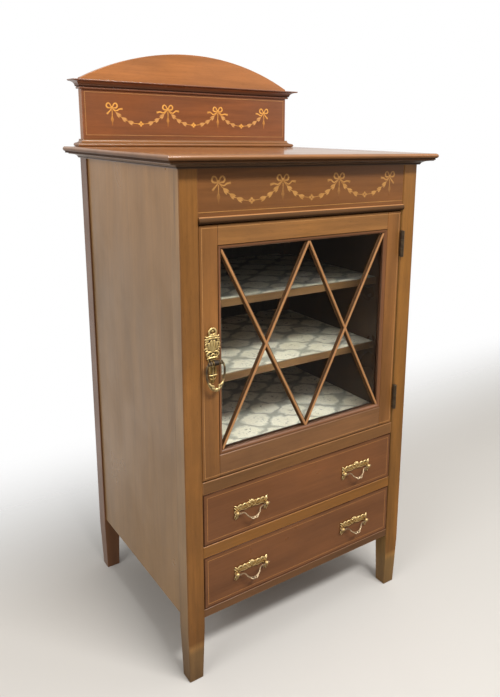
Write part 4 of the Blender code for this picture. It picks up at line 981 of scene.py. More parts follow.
def make_stringing(case, door, drawers):
    """Boxwood lines on the gallery, the frieze, the door and the drawers, in darker tones than the bows; the
    frieze's line is painted darker as shade."""
    low_z, high_z = (gallery_low.z + h for h in GALLERY_STRING_HEIGHTS)
    box = rectangle(gallery_low.x + GALLERY_STRING_INSET, gallery_high.x - GALLERY_STRING_INSET, low_z,
                    high_z)
    make_strip("gallery_stringing", box, gallery_low.y, True, door, "cabinet")
    z = frieze_low.z + FRIEZE_STRING_HEIGHT
    make_strip("frieze_stringing", [(frieze_low.x, z), (frieze_high.x, z)], frieze_low.y, False, case,
               "cabinet")
    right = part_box("door_stile_right")[1]
    make_strip("door_stringing", inset_box(stile_low, right, DOOR_STRING_INSET), door_face, True, door,
               "door")
    for word in ("lower", "upper"):
        low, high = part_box(f"drawer_{word}_front")
        make_strip(f"drawer_{word}_stringing", inset_box(low, high, DRAWER_STRING_INSET), low.y, True,
                   drawers,
                   f"drawer_{word}")


# Brass: scrolls and leaves are swept one by one and then fused into one casting

def stroke(bm, points, flat=1.0, sides=10):
    """A rounded, tapering rib through (u, v, height, radius) points, with its roundness pressed flat."""
    path = curved(points, 6)
    rings = []
    for i, (u, v, height, radius) in enumerate(path):
        before, after = path[max(i - 1, 0)], path[min(i + 1, len(path) - 1)]
        way = Vector((after[0] - before[0], after[1] - before[1])).normalized()
        across = Vector((way.y, -way.x))
        ring = []
        for k in range(sides):
            turn = 2 * pi * k / sides
            side = across * (radius * cos(turn))
            ring.append((u + side.x, -(height + radius * flat * sin(turn)), v + side.y))
        rings.append(ring)
    loft(bm, rings)


def bead(bm, centre, radii, steps=14):
    """A round or flattened ball of metal: centre is (u, v, height)."""
    u, v, height = centre
    matrix = Matrix.Translation((u, -height, v)) @ Matrix.Diagonal((radii[0], radii[2], radii[1], 1))
    bmesh.ops.create_uvsphere(bm, u_segments=steps, v_segments=steps // 2, radius=1, matrix=matrix)


def both_sides(bm, points, **settings):
    """The same rib on both sides of the middle line."""
    for side in (-1, 1):
        stroke(bm, [(side * u, v, height, radius) for u, v, height, radius in points], **settings)


def fused(name, bm, voxel):
    """One skin round overlapping bodies, softened as casting does."""
    mesh = bpy.data.meshes.new(name)
    bm.to_mesh(mesh)
    bm.free()
    obj = bpy.data.objects.new(name, mesh)
    scene.collection.objects.link(obj)
    remesh = obj.modifiers.new("Fused", "REMESH")
    remesh.mode, remesh.voxel_size = "VOXEL", voxel
    smooth = obj.modifiers.new("Softened", "SMOOTH")
    smooth.factor, smooth.iterations = 0.5, 2
    return applied(obj)


def read(items, key, kind=float, width=3):
    """One property of all the vertices or edges of a mesh, a row for each."""
    values = np.empty(len(items) * width, kind)
    items.foreach_get(key, values)
    return values.reshape(-1, width)


def casting(name, bm, back=None, voxel=CAST_VOXEL, shine=None, heights=((0, 0), (2, 0.4), (3.6, 1))):
    """One fused skin with its ridges and hollows marked. The heights are (millimetres over the back,
    brightness), and the shine is (millimetres up, brightness), which sets the brightness by height in the
    heights' place."""
    mesh = fused(name, bm, voxel)
    places = read(mesh.vertices, "co")
    if back is not None:
        places[:, 1] = np.minimum(places[:, 1], back)
        mesh.vertices.foreach_set("co", places.ravel())
        mesh.update()
    normals = read(mesh.vertices, "normal")
    edges = read(mesh.edges, "vertices", int, 2)
    degree = np.bincount(edges.ravel(), minlength=len(places))

    def spread(values):
        total = np.zeros_like(values)
        np.add.at(total, edges[:, 0], values[edges[:, 1]])
        np.add.at(total, edges[:, 1], values[edges[:, 0]])
        return total / (degree[:, None] if values.ndim > 1 else degree)

    wide = places
    for _ in range(6):
        wide = spread(wide)
    bulge = spread(spread(np.sum((places - wide) * normals, axis=1) / (0.5 * voxel)))
    if shine:
        height = np.interp(places[:, 2] / MM, *zip(*shine))
    else:
        height = np.interp((back - places[:, 1]) / MM, *zip(*heights))
    layer = mesh.attributes.new("ridge", "FLOAT", "POINT")
    layer.data.foreach_set("value", np.clip(0.8 * bulge + 0.6 * height, 0, 1).astype(np.float32))
    return mesh


def relief(bm, back):
    """Two tools for a plate, in millimetres over its back: a rib on both sides of the middle, and a bead."""
    def rib(points, **settings):
        both_sides(bm, [(u * MM, v * MM, -back + h * MM, r * MM) for u, v, h, r in points], **settings)

    def knob(u, v, height, radii, steps=14):
        bead(bm, (u * MM, v * MM, -back + height * MM), [radius * MM for radius in radii], steps)

    return rib, knob


def make_pull_casting():
    """A drawer pull's plate, about the middle of its pivots: a pierced band of curling acanthus under a
    shell, with drops of leaves at its ends, and round posts for the bail."""
    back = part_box("drawer_lower_pull_left")[1].y - joint_place("drawer_lower_bail_left_pivot").y
    bm = bmesh.new()
    rib, knob = relief(bm, back)
    # The band, its lower edge, and the scrolls that roll along its upper edge
    rib([(0, 6.6, 1.6, 5.4), (12, 6.8, 1.6, 5.2), (22, 6.6, 1.6, 5.0), (28, 5.4, 1.4, 3.8)], flat=0.30)
    rib([(1.0, 1.8, 1.4, 1.3), (7.5, 2.6, 1.8, 1.5), (13.5, 1.6, 1.9, 1.4), (20.0, 2.8, 1.8, 1.5),
         (26.0, 1.4, 1.6, 1.4)],
        flat=0.85)
    rib([(8.4, 4.6, 1.6, 1.4), (9.8, 9.2, 2.1, 1.7), (13.4, 11.6, 2.3, 1.6), (17.0, 9.8, 2.2, 1.5),
         (16.4, 6.4, 2.0, 1.3),
         (13.6, 6.6, 2.2, 1.2)], flat=0.9)
    rib([(17.4, 4.8, 1.6, 1.4), (18.8, 9.2, 2.1, 1.6), (22.0, 11.8, 2.3, 1.5), (25.4, 10.0, 2.2, 1.4),
         (24.8, 6.8, 2.0, 1.2),
         (22.2, 6.8, 2.2, 1.1)], flat=0.9)
    # Flaring leaves at the ends, with knops on the drops below them
    rib([(25.5, 5.5, 1.6, 1.8), (29.2, 9.4, 2.1, 1.9), (33.0, 12.6, 1.3, 0.7)], flat=0.85)
    rib([(27.0, 4.0, 1.6, 1.6), (31.0, 6.2, 1.8, 1.5), (33.2, 8.6, 1.1, 0.6)], flat=0.85)
    rib([(28.4, 6.0, 1.5, 2.4), (29.2, 0.0, 1.6, 2.6), (28.8, -6.0, 1.5, 1.9)], flat=0.6)
    for u, v, radius in ((29.0, 4.4, 2.2), (28.9, -4.6, 2.0)):
        for side in (-1, 1):
            knob(side * u, v, 2.0, (radius, radius * 0.8, 1.3), 12)
    rib([(28.6, -5.0, 1.5, 1.6), (29.4, -9.6, 1.9, 1.6), (31.2, -14.0, 1.0, 0.5)], flat=0.85)
    rib([(28.2, -4.6, 1.4, 1.4), (26.8, -8.6, 1.7, 1.4), (26.4, -12.0, 0.9, 0.5)], flat=0.85)
    rib([(29.6, -4.0, 1.4, 1.4), (32.0, -7.4, 1.6, 1.3), (33.3, -11.0, 0.9, 0.5)], flat=0.85)
    # Crest: a shell whose ribs spread from a bead, over a pair of C scrolls
    for u, tip, radius in ((0.0, 15.8, 1.3), (2.9, 15.0, 1.2), (5.4, 12.8, 1.1)):
        rib([(u * 0.30, 8.2, 2.3, 0.9), (u * 0.80, (tip + 8.2) / 2 + 0.6, 3.1, radius),
             (u, tip, 1.7, radius * 0.7)],
            flat=0.9)
    knob(0, 7.2, 2.4, (2.6, 2.0, 1.5))
    rib([(1.0, 5.0, 2.0, 1.2), (4.0, 3.6, 2.5, 1.4), (7.0, 5.0, 2.5, 1.3), (6.4, 8.0, 2.2, 1.1),
         (4.2, 7.0, 2.2, 0.9)],
        flat=0.9)
    for side in (-1, 1):
        x = side * PULL_POST
        bead(bm, (x, 0, -back + 1.6 * MM), (3.9 * MM, 3.9 * MM, 1.7 * MM))
        bmesh.ops.create_cone(bm, cap_ends=True, segments=20, radius1=2.6 * MM, radius2=2.1 * MM, depth=back,
                              matrix=Matrix.Translation((x, back / 2, 0)) @ Matrix.Rotation(pi / 2, 4, "X"))
        bead(bm, (x, 0, 0), (3.3 * MM, 3.3 * MM, 3.3 * MM), 18)
    return casting("pull_casting", bm, back, heights=((0, 0), (2, 0.4), (3.6, 1), (6, 0.5)))


def tube(bm, path, radii, sides=14, closed=False):
    """A round rod through points of the front view, about its own axis."""
    count = len(path)
    rings = []
    for i, (here, radius) in enumerate(zip(path, radii)):
        here = Vector(here)
        before = Vector(path[i - 1]) if closed or i > 0 else here
        after = Vector(path[(i + 1) % count]) if closed or i < count - 1 else here
        way = (after - before).normalized()
        across = Vector((way.y, -way.x))
        rings.append([elevation(*(here + across * (radius * cos(2 * pi * k / sides))),
                                radius * sin(2 * pi * k / sides))
                      for k in range(sides)])
    loft(bm, rings, closed=closed)


def make_bail_casting():
    """A swan-neck bail about its pivots: slim ends, a swelling bow, two collars and a leafy foot. It leans
    forward towards its foot, clear of the drawer's front."""
    drop = BAIL_DROP
    bends = ((28.5, 0), (25.0, -0.09), (20.4, -0.08), (15.8, -0.20), (13.2, -0.45), (10.6, -0.70),
             (6.0, -0.91), (0, -1))
    sweep = [(u * MM, v * drop) for u, v in curved(bends, 6)]
    path = [(PULL_POST + 3.7 * MM, 0), *sweep, *[(-u, v) for u, v in sweep[-2::-1]],
            (-PULL_POST - 3.7 * MM, 0)]
    radii = [(0.85 + 0.25 * (-v / drop) ** 0.6) * MM for u, v in path]
    bm = bmesh.new()
    tube(bm, path, radii)
    for side in (-1, 1):
        bead(bm, (side * (PULL_POST - 5.0 * MM), -1.3 * MM, 0), (1.0 * MM, 1.4 * MM, 1.4 * MM))
        bead(bm, (side * 12.2 * MM, -0.57 * drop, 0), (1.3 * MM, 1.3 * MM, 1.5 * MM))
        bead(bm, (side * (PULL_POST + 4.0 * MM), 0, 0), (0.9 * MM, 1.6 * MM, 1.6 * MM))
        stroke(bm, [(side * 0.5 * MM, -drop, 0.8 * MM, 1.2 * MM),
                    (side * 4.0 * MM, -drop - 0.7 * MM, 1.3 * MM, 1.1 * MM),
                    (side * 7.5 * MM, -drop + 1.4 * MM, 0.9 * MM, 0.6 * MM)])
    bead(bm, (0, -drop, 0.8 * MM), (2.1 * MM, 1.9 * MM, 2.0 * MM))
    for vertex in bm.verts:
        vertex.co.y -= BAIL_LEAN * max(0.0, -vertex.co.z / drop)
    # The shine paints a highlight on the bail's lower part, as lit, fading towards its ends
    return casting("bail_casting", bm, voxel=0.28 * MM, shine=((-14, 0.9), (-7, 0.5), (0, 0.1)))


def make_handle_casting():
    """The door handle's plate about its lug: a looped ribbon over a fluted shell, C scrolls under it, and a
    strap of leaves behind the ring."""
    back = door_face - TINY - joint_place("door_ring_pivot").y
    bm = bmesh.new()
    rib, knob = relief(bm, back)
    # Loop of ribbon at the top, with its knot, and the wide spray of its crossing tails
    rib([(0.4, 43.4, 1.9, 1.7), (4.6, 44.2, 2.1, 1.8), (6.0, 48.4, 2.2, 1.8), (3.6, 52.2, 2.2, 1.7),
         (0.3, 53.8, 2.0, 1.5)],
        flat=0.8)
    knob(0, 49.6, 1.8, (2.6, 2.6, 1.6), 12)
    rib([(0.5, 40.6, 2.2, 1.8), (5.0, 41.4, 2.6, 1.8), (9.0, 39.8, 2.0, 1.4), (12.3, 41.8, 1.2, 0.7)],
        flat=0.85)
    rib([(0.5, 37.4, 2.2, 1.9), (5.6, 37.8, 2.6, 1.9), (10.2, 36.2, 1.9, 1.4), (13.2, 37.4, 1.1, 0.7)],
        flat=0.85)
    knob(0, 39.2, 2.4, (2.4, 2.8, 1.6), 12)
    knob(0, 35.4, 1.2, (10.0, 4.6, 1.7), 14)
    # The plate's body, which carries the scrolls
    for level, half, tall in ((29.0, 9.6, 7.0), (19.0, 10.2, 7.0), (10.0, 9.6, 6.5), (2.0, 8.0, 6.0),
                              (-8.0, 7.0, 8.0),
                              (-20.0, 6.8, 9.0), (-30.0, 5.4, 7.0)):
        knob(0, level, 0.6, (half, tall, 1.1), 18)
    # Shell: smooth flutes that spread upwards from a waist, with a small tip at each side
    knob(0, 24.0, 0.9, (9.2, 11.4, 3.2), 24)
    for spread, tip, width in ((2.4, 34.6, 2.6), (7.2, 31.6, 2.3)):
        rib([(spread * 0.5, 16.0, 2.0, 1.4), (spread * 0.9, (tip + 16.0) / 2 + 2, 2.8, width),
             (spread, tip, 2.2, width * 0.9)], flat=0.6)
    rib([(7.0, 34.4, 1.9, 1.7), (10.4, 33.6, 2.0, 1.5), (13.2, 31.4, 1.2, 0.7)], flat=0.85)
    rib([(9.0, 31.6, 1.8, 1.5), (12.0, 28.8, 2.2, 1.5), (11.2, 25.0, 1.9, 1.2), (8.8, 25.4, 1.9, 1.0)],
        flat=0.9)
    rib([(7.6, 21.4, 1.6, 1.9), (11.4, 22.2, 1.8, 1.5), (14.4, 20.4, 1.0, 0.7)], flat=0.85)
    rib([(7.0, 17.6, 1.6, 1.7), (10.4, 18.2, 1.6, 1.3), (12.6, 16.8, 1.0, 0.6)], flat=0.85)
    # C scrolls and a bar over the lug
    rib([(1.2, 15.6, 2.2, 1.4), (6.0, 16.2, 2.6, 1.6), (9.8, 13.4, 2.6, 1.6), (9.2, 9.4, 2.4, 1.4),
         (6.0, 9.4, 2.4, 1.2),
         (6.2, 12.2, 2.6, 1.1)], flat=0.95)
    rib([(0.0, 12.8, 2.4, 1.4), (2.6, 10.8, 2.6, 1.4), (3.0, 8.2, 2.2, 1.1)], flat=0.95)
    rib([(0.0, 6.6, 2.6, 1.5), (5.6, 6.4, 2.6, 1.5), (10.0, 5.0, 1.6, 1.0)], flat=0.95)
    # Strap behind the ring: a tapering leaf with beads and collars
    rib([(2.4, 3.0, 1.2, 3.0), (3.0, -8.0, 1.2, 3.2), (3.6, -18.0, 1.2, 3.4), (2.6, -28.0, 1.1, 2.6),
         (0.3, -37.0, 1.0, 1.3)], flat=0.42)
    rib([(0.0, -4.0, 2.0, 1.1), (0.0, -20.0, 2.2, 1.3), (0.0, -35.0, 1.5, 0.8)], flat=0.9)
    knob(0, -8.4, 2.2, (2.3, 2.0, 1.6), 12)
    rib([(0.0, -23.0, 2.6, 1.6), (7.0, -22.6, 2.2, 1.4)], flat=0.9)
    for level, reach in ((-14.0, 6.2), (-18.4, 6.4), (-28.5, 5.4)):
        rib([(0.0, level - 1.6, 1.9, 1.2), (reach * 0.6, level, 1.8, 1.3), (reach, level + 2.6, 1.2, 0.8)],
            flat=0.6)
    # Lug for the ring
    stroke(bm, [(-5.0 * MM, 0, 0, 4.2 * MM), (5.0 * MM, 0, 0, 4.2 * MM)], sides=20)
    bmesh.ops.create_cube(bm, size=1, matrix=Matrix.Translation((0, back / 2, 0))
                          @ Matrix.Diagonal((8.2 * MM, back, 7.0 * MM, 1)))
    return casting("handle_casting", bm, back, heights=((0, 0), (2, 0.45), (3.4, 1), (4.4, 1), (5.6, -0.4)))


def make_ring_casting():
    """The door's hanging ring about its pivot: a fat roll each side of the lug, a full bow, and leaves at its
    foot."""
    half, drop = 16.0 * MM, 44.5 * MM
    shares = ((0.62, 0.0), (0.86, 0.05), (0.98, 0.18), (1.0, 0.34), (0.94, 0.52), (0.78, 0.72), (0.55, 0.88),
              (0.28, 0.97), (0.0, 1.0))
    sweep = [(u * half, -v * drop) for u, v in curved(shares, 6)]
    path = [(0, 0), (half * 0.3, 0), *sweep, *[(-u, v) for u, v in sweep[-2::-1]], (-half * 0.3, 0)]
    radii = [(1.5 if v == 0 else 1.5 + 0.7 * (-v / drop)) * MM for u, v in path]
    bm = bmesh.new()
    tube(bm, path, radii, 16, closed=True)
    for side in (-1, 1):
        bead(bm, (side * 7.6 * MM, 0, 0), (2.4 * MM, 4.1 * MM, 4.1 * MM))
        bead(bm, (side * 11.2 * MM, -0.4 * MM, 0), (2.2 * MM, 3.3 * MM, 3.3 * MM))
        for reach, level, lift in ((4.6, -41.5, 2.4), (8.6, -39.0, 2.0), (12.0, -34.0, 1.6)):
            stroke(bm, [(side * 0.35 * reach * MM, (level - 3.6) * MM, 1.3 * MM, 2.0 * MM),
                        (side * 0.8 * reach * MM, (level - 0.6) * MM, (lift + 0.7) * MM, 1.8 * MM),
                        (side * reach * MM, (level + 3.2) * MM, lift * MM, 0.8 * MM)])
    bead(bm, (0, -drop + 1.0 * MM, 1.2 * MM), (3.2 * MM, 3.6 * MM, 3.0 * MM), 18)
    return casting("ring_casting", bm, shine=((-46, 1.0), (-33, 0.8), (-27, -0.1), (-6, -0.1), (0, -0.3)))


def moved(mesh, place):
    made = mesh.copy()
    made.transform(Matrix.Translation(place))
    return made


def make_handles(bright, worn, dull, dark):
    plate, bail = make_pull_casting(), make_bail_casting()
    for word in ("lower", "upper"):
        for hand in ("left", "right"):
            low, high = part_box(f"drawer_{word}_pull_{hand}")
            joint = joint_place(f"drawer_{word}_bail_{hand}_pivot")
            place = Vector(((low.x + high.x) / 2, joint.y, joint.z))
            placed(f"drawer_{word}_pull_{hand}_cast", moved(plate, place), bright, f"drawer_{word}", "brass",
                   f"drawer_{word}_pull_{hand}")
            placed(f"drawer_{word}_bail_{hand}_cast", moved(bail, place), worn, f"drawer_{word}_bail_{hand}",
                   "brass",
                   f"drawer_{word}_bail_{hand}")
    low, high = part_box("door_handle_plate")
    pivot = joint_place("door_ring_pivot")
    place = Vector(((low.x + high.x) / 2, pivot.y, pivot.z))
    placed("door_handle_cast", moved(make_handle_casting(), place), dull, "door", "brass",
           "door_handle_plate")
    placed("door_ring_cast", moved(make_ring_casting(), place), dark, "door_ring", "brass",
           "door_handle_ring")


# Hinges, with their screws made by a geometry nodes tree

def screw_tree():
    """Instances flush screw heads with a slot on points, each slot turned by its own amount."""
    tree, given = new_group("Screw heads", "Screws", (
        ("Places", "Geometry", None), ("Head Radius", "Float", SCREW_RADIUS),
        ("Slot Width", "Float", SCREW_SLOT),
        ("Proud", "Float", SCREW_PROUD), ("Facing", "Vector", None), ("Seed", "Int", 4),
        ("Material", "Material", None)))
    depth = add(tree, MATH, {0: given["Proud"], 1: 4.0}, operation="MULTIPLY")
    size = {"Vertices": 20, "Radius": given["Head Radius"], "Depth": depth}
    head = add(tree, "GeometryNodeMeshCylinder", size, fill_type="NGON")
    length = add(tree, MATH, {0: given["Head Radius"], 1: 3.0}, operation="MULTIPLY")
    saw = add(tree, "GeometryNodeMeshCube",
              {"Size": add(tree, UNITE, {0: length, 1: given["Slot Width"], 2: depth})})
    rise = add(tree, MATH, {0: depth, 1: 0.78}, operation="MULTIPLY")
    raised = add(tree, SHIFT, {"Geometry": saw, "Translation": add(tree, UNITE, {2: rise})})
    slotted = add(tree, "GeometryNodeMeshBoolean", {0: head, 1: raised}, operation="DIFFERENCE")
    turn = add(tree, "FunctionNodeRandomValue", {2: 0.0, 3: pi, "Seed": given["Seed"]}, out=1,
               data_type="FLOAT")
    spun = add(tree, AIM, {"Vector": given["Facing"]}, axis="Z")
    heads = add(tree, INSTANCES,
                {"Points": given["Places"], "Instance": slotted, "Rotation": spun})
    turned = add(tree, "GeometryNodeRotateInstances",
                 {"Instances": heads, "Rotation": add(tree, UNITE, {2: turn}), "Local Space": True})
    return close_group(tree, given, turned)


def points_mesh(name, points):
    mesh = bpy.data.meshes.new(name)
    mesh.from_pydata([tuple(point) for point in points], [], [])
    return mesh


def rod(bm, radius, low, high, x, y, sides=28, ease=0.25 * MM):
    """An upright turned rod with eased ends."""
    rings = []
    for height, r in ((low, radius - ease), (low + ease, radius), (high - ease, radius),
                      (high, radius - ease)):
        rings.append([(x + r * cos(2 * pi * k / sides), y + r * sin(2 * pi * k / sides),
                       height) for k in range(sides)])
    loft(bm, rings)


def make_hinges(material, tree):
    """Butt hinges with three knuckles, and three countersunk screws in each leaf."""
    axis = joint_place("door_hinge")
    for level in ("lower", "upper"):
        low, high = (corner.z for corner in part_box(f"hinge_{level}_door_leaf"))
        third = (high - low) / 3
        for owner, body, side in (("frame", "cabinet", 1), ("door", "door", -1)):
            name = f"hinge_{level}_{owner}"
            near = axis.x + side * HINGE_GAP
            far = near + side * LEAF_THICKNESS
            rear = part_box(name + "_leaf")[1].y
            bm = bmesh.new()
            block_from(bm, (near, axis.y + LEAF_FRONT, low), (far, rear, high), LEAF_EASE)
            if owner == "frame":
                spans = ((low, low + third - HINGE_GAP), (high - third + HINGE_GAP, high))
                rod(bm, PIN_RADIUS, low - PIN_PROUD, high + PIN_PROUD, axis.x, axis.y, 16, PIN_EASE)
            else:
                spans = ((low + third + HINGE_GAP, high - third - HINGE_GAP),)
            for bottom, top in spans:
                rod(bm, KNUCKLE_RADIUS, bottom, top, axis.x, axis.y)
                block_from(bm, (near, axis.y + STRAP_FRONT, bottom), (far, axis.y + STRAP_REAR, top),
                           STRAP_EASE)
            finished(name + "_pressed", bm, material, body, "brass", name + "_leaf")
            spots = [(near, axis.y + SCREW_ROWS[i % 2],
                      low + third * (i + 0.5)) for i in range(3)]
            mesh = grown("screws", points_mesh("spots", spots), tree, Material=material, Facing=(-side, 0, 0),
                         Seed=len(level) + side)
            placed(name + "_screws", mesh, material, body, "brass")


def block_from(bm, corner, opposite, ease):
    """A block between two corners with eased edges."""
    low = Vector(min(a, b) for a, b in zip(corner, opposite))
    high = Vector(max(a, b) for a, b in zip(corner, opposite))
    part = bmesh.new()
    bmesh.ops.create_cube(part, size=1, matrix=Matrix.Translation((low + high) / 2)
                          @ Matrix.Diagonal((*(high - low), 1)))
    bmesh.ops.bevel(part, geom=part.edges[:], offset=ease, segments=1, affect="EDGES", profile=0.5)
    merge(bm, part)


def paper_lift(x, y, low):
    """How far a paper has risen at a point: it swells, and curls up a little at its front edge."""
    swell = PAPER_SWELL * (1 + sin(x * 41 + y * 17 + low.z * 90) * cos(y * 53 - x * 9))
    edge = max(0.0, 1 - (y - low.y) / CURL_REACH)
    return swell + PAPER_CURL * edge ** 2 * (0.5 + 0.5 * sin(x * 23 + low.z * 40))


def make_papers(material):
    """Lining papers that no longer lie quite flat, cut out round the legs as their CAD outlines are."""
    for node in ("floor_paper", "shelf_paper_lower", "shelf_paper_upper"):
        low, high, size = size_of(node)
        obj = frame["nodes"][node]
        outline = np.array([v.co for v in obj.data.vertices])
        narrow = sorted(set(round(abs(x), 5) for x in outline[:, 0]))[0]
        shoulders = sorted(set(round(y, 5) for y in outline[:, 1]))
        columns, rows = 84, max(12, int(size.y / PAPER_STEP))
        bm = bmesh.new()
        xs = np.unique(np.concatenate([np.linspace(low.x, high.x, columns), [-narrow, narrow]]))
        ys = np.unique(np.concatenate([np.linspace(low.y, high.y, rows), shoulders]))
        verts = {}
        for i, x in enumerate(xs):
            for j, y in enumerate(ys):
                verts[i, j] = bm.verts.new((x, y, high.z + paper_lift(x, y, low)))
        for i in range(len(xs) - 1):
            for j in range(len(ys) - 1):
                middle_x, middle_y = abs(xs[i] + xs[i + 1]) / 2, (ys[j] + ys[j + 1]) / 2
                behind = middle_y > shoulders[-2]
                before = len(shoulders) > 3 and middle_y < shoulders[1]
                if middle_x <= narrow or not (behind or before):
                    bm.faces.new((verts[i, j], verts[i + 1, j], verts[i + 1, j + 1], verts[i, j + 1]))
        bmesh.ops.delete(bm, geom=[v for v in bm.verts if not v.link_faces], context="VERTS")
        made = bmesh.ops.extrude_face_region(bm, geom=bm.faces[:])
        under = [item for item in made["geom"] if isinstance(item, bmesh.types.BMVert)]
        bmesh.ops.translate(bm, vec=(0, 0, -PAPER_THICKNESS), verts=under)
        bmesh.ops.recalc_face_normals(bm, faces=bm.faces[:])
        finished(node + "_sheet", bm, material, "cabinet", "lining_paper", node, smooth=60)


# Stage

def make_floor():
    """A pale floor that fades into the background behind the cabinet and far from it, and looks darker in
    polish and glass."""
    made, tree = new_material("pale_floor")
    place = add(tree, PLACE, out="Object")
    depth = add(tree, SPLIT, {0: place}, out="Y")
    behind = add(tree, RANGE, {0: depth, 1: -0.30, 2: 0.10})
    mirrored = add(tree, MIX, {0: behind, 6: linear("#4A4540"), 7: linear("#C8C4BE")}, **COLOURS)
    colour = add(tree, MIX, {0: add(tree, PATH, out="Is Glossy Ray"), 6: linear(FLOOR_COLOUR), 7: mirrored},
                 **COLOURS)
    far = add(tree, RANGE, {0: depth, 1: FLOOR_FADE[0], 2: FLOOR_FADE[1]}, interpolation_type="SMOOTHSTEP")
    away = add(tree, VECTORS, {0: place}, out="Value", operation="LENGTH")
    away = add(tree, RANGE, {0: away, 1: FLOOR_REACH[0], 2: FLOOR_REACH[1]}, interpolation_type="SMOOTHSTEP")
    far = add(tree, MATH, {0: far, 1: away}, operation="MAXIMUM")
    matt = add(tree, SHADER, {"Base Color": colour, "Roughness": 0.9, "Specular IOR Level": 0.2})
    gone = add(tree, "ShaderNodeBsdfTransparent")
    add(tree, OUTPUT, {"Surface": add(tree, BLEND, {0: far, 1: matt, 2: gone})})
    bm = bmesh.new()
    bmesh.ops.create_grid(bm, x_segments=1, y_segments=1, size=8)
    mesh = bpy.data.meshes.new("floor")
    bm.to_mesh(mesh)
    bm.free()
    mesh.materials.append(made)
    floor = bpy.data.objects.new("floor", mesh)
    scene.collection.objects.link(floor)


def make_room():
    """A white backdrop for the camera, a soft even light, and for polish and glass a room that is dim in
    front."""
    world = bpy.data.worlds.new("pale_room")
    scene.world = world
    world.use_nodes = True
    tree = world.node_tree
    tree.nodes.clear()
    path = add(tree, PATH).node.outputs
    mirrored = add(tree, MATH, {0: path["Is Glossy Ray"], 1: path["Is Transmission Ray"]},
                   operation="MAXIMUM")
    way = add(tree, SPLIT, {0: add(tree, PLACE, out="Generated")}).node.outputs
    behind = add(tree, RANGE, {0: way["Y"], 1: -0.75, 2: 0.10})
    above = add(tree, RANGE, {0: way["Z"], 1: 0.15, 2: 0.60})
    behind = add(tree, MATH, {0: behind, 1: above}, operation="MAXIMUM")
    room = add(tree, BACKDROP, {"Color": linear("#F2EFEA"), "Strength": ROOM_LIGHT})
    walls = add(tree, MIX, {0: behind, 6: linear("#4A4743"), 7: linear("#F4F2EF")}, **COLOURS)
    walls = add(tree, BACKDROP, {"Color": walls, "Strength": 0.9})
    white = add(tree, BACKDROP, {"Color": linear("#FFFFFF"), "Strength": 1.0})
    lit = add(tree, BLEND, {0: mirrored, 1: room, 2: walls})
    add(tree, "ShaderNodeOutputWorld",
        {"Surface": add(tree, BLEND, {0: path["Is Camera Ray"], 1: lit, 2: white})})


def make_lamps():
    """Soft lamps, each aimed at a point of the cabinet."""
    for name, place, aim, width, height, power in LAMPS:
        lamp = bpy.data.lights.new(name, "AREA")
        lamp.shape = "RECTANGLE"
        lamp.size, lamp.size_y = width, height
        lamp.energy = power
        obj = bpy.data.objects.new(name, lamp)
        obj.location = place
        obj.rotation_euler = (Vector(aim) - Vector(place)).to_track_quat("-Z", "Y").to_euler()
        scene.collection.objects.link(obj)


def make_camera():
    """The camera at the photograph's place, with its centre off the middle as the photograph's is."""
    forward = Vector((sin(CAMERA_YAW) * cos(CAMERA_PITCH), cos(CAMERA_YAW) * cos(CAMERA_PITCH),
                      sin(CAMERA_PITCH)))
    right = Vector((cos(CAMERA_YAW), -sin(CAMERA_YAW), 0))
    up = right.cross(forward)
    side = right * cos(CAMERA_ROLL) + up * sin(CAMERA_ROLL)
    head = up * cos(CAMERA_ROLL) - right * sin(CAMERA_ROLL)
    camera = bpy.data.objects.new("camera", bpy.data.cameras.new("camera"))
    turn = Matrix((side, head, -forward)).transposed().to_4x4()
    camera.matrix_world = Matrix.Translation(CAMERA_PLACE) @ turn
    camera.data.sensor_width = SENSOR * 1000
    camera.data.lens = SENSOR * 1000 * FOCAL_PIXELS / PHOTO_HEIGHT
    camera.data.shift_x = (PHOTO_WIDTH / 2 - CENTRE_PIXEL[0]) / PHOTO_HEIGHT
    camera.data.shift_y = (CENTRE_PIXEL[1] - PHOTO_HEIGHT / 2) / PHOTO_HEIGHT
    scene.collection.objects.link(camera)
    scene.camera = camera


# Name, colour, seed, coat and coordinates of the woods that are shaped here; those in UV follow their runs
# Their colours hold painted light with the wood's tone: the base moulding and the bead lighter as lit, and
# the sight moulding darker as shade
SHAPED_WOODS = (
    ("top", "#95602F", 81, 0.6, "Object"), ("cove", "#7C5C41", 82, 0.4, "UV"),
    ("cornice", "#83543A", 87, 0.4, "UV"), ("base", "#89582C", 86, 0.2, "UV"),
    ("bead", "#C28852", 83, 0.3, "Object"), ("sight", "#744B2E", 84, 0.15, "UV"),
    ("bars", "#A87648", 85, 0.15, "UV"),
)


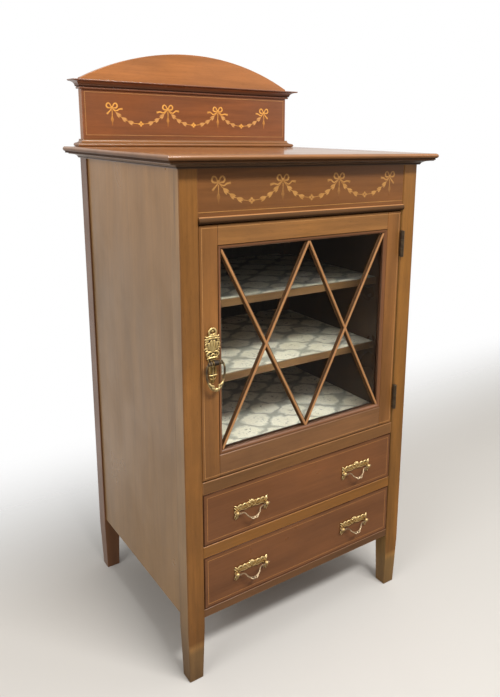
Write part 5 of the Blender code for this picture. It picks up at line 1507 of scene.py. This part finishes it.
def make_shaped_wood():
    """The top, the mouldings and the bars, each in its own material. The cove's front is painted darker than
    its ends, as shade.
    """
    corner = cove_high.y - leg_low.y
    cove_front_shade = (COVE_FRONT_SHADE, [("X", corner, 1, TINY), ("X", corner + 2 * half_width, -1, TINY)])
    wood = {}
    for name, colour, seed, coat, coordinates in SHAPED_WOODS:
        zones = [cove_front_shade] if name == "cove" else ()
        wood[name] = polished_mahogany(name, "X", colour, seed, coat=coat, coordinates=coordinates,
                                       zones=zones)
    make_top_board(wood["top"])
    make_cove(wood["cove"])
    make_gallery_mouldings(wood["cornice"], wood["base"])
    make_frieze_bead(wood["bead"])
    make_sight_moulding(wood["sight"])
    make_astragals(wood["bars"])


def main():
    make_floor()
    make_room()
    make_lamps()
    make_camera()
    scene.view_settings.view_transform = "Standard"
    dress_boards()
    make_shaped_wood()
    golden = veneer("boxwood_inlay_on_gallery", "#EBAA50", "#D0903F", "#8A4E22")
    husks = veneer("scorched_husks_on_gallery", "#D59C58", "#B88046", "#7A4420")
    # The frieze's boxwood is a darker copy of the gallery's, painted as in shade under the top
    shaded_boxwood = veneer("aged_boxwood_on_frieze", "#B9874A", "#A07038", "#6E4220")
    dull = veneer("darkened_stringing", "#BC8850", "#A07040", "#6E4220")
    faint = veneer("faint_stringing", "#AE7A42", "#946238", "#5A3A20")
    tree = husk_tree()
    make_festoon("gallery", gallery_low.y, golden, husks, tree)
    make_festoon("frieze", frieze_low.y, shaded_boxwood, shaded_boxwood, tree)
    make_stringing(shaded_boxwood, dull, faint)
    make_handles(worked_brass("cast_brass_pulls", "#4A3014", "#A67C3E", "#E8CC90"),
                 worked_brass("worn_brass_bails", "#2E2016", "#6A5238", "#D2B994"),
                 worked_brass("cast_brass_door_handle", "#2A1D0E", "#9A773A", "#ECD08E"),
                 worked_brass("cast_brass_door_ring", "#2C2218", "#7A6444", "#E2C688"))
    pressed = worked_brass("pressed_brass_hinges", "#241B12", "#443627", "#77664C", cast=False)
    make_hinges(pressed, screw_tree())
    dress("door_lock", pressed)
    dress("door_glass", old_glass("drawn_glass"))
    make_papers(lining_paper("printed_lining_paper"))


main()
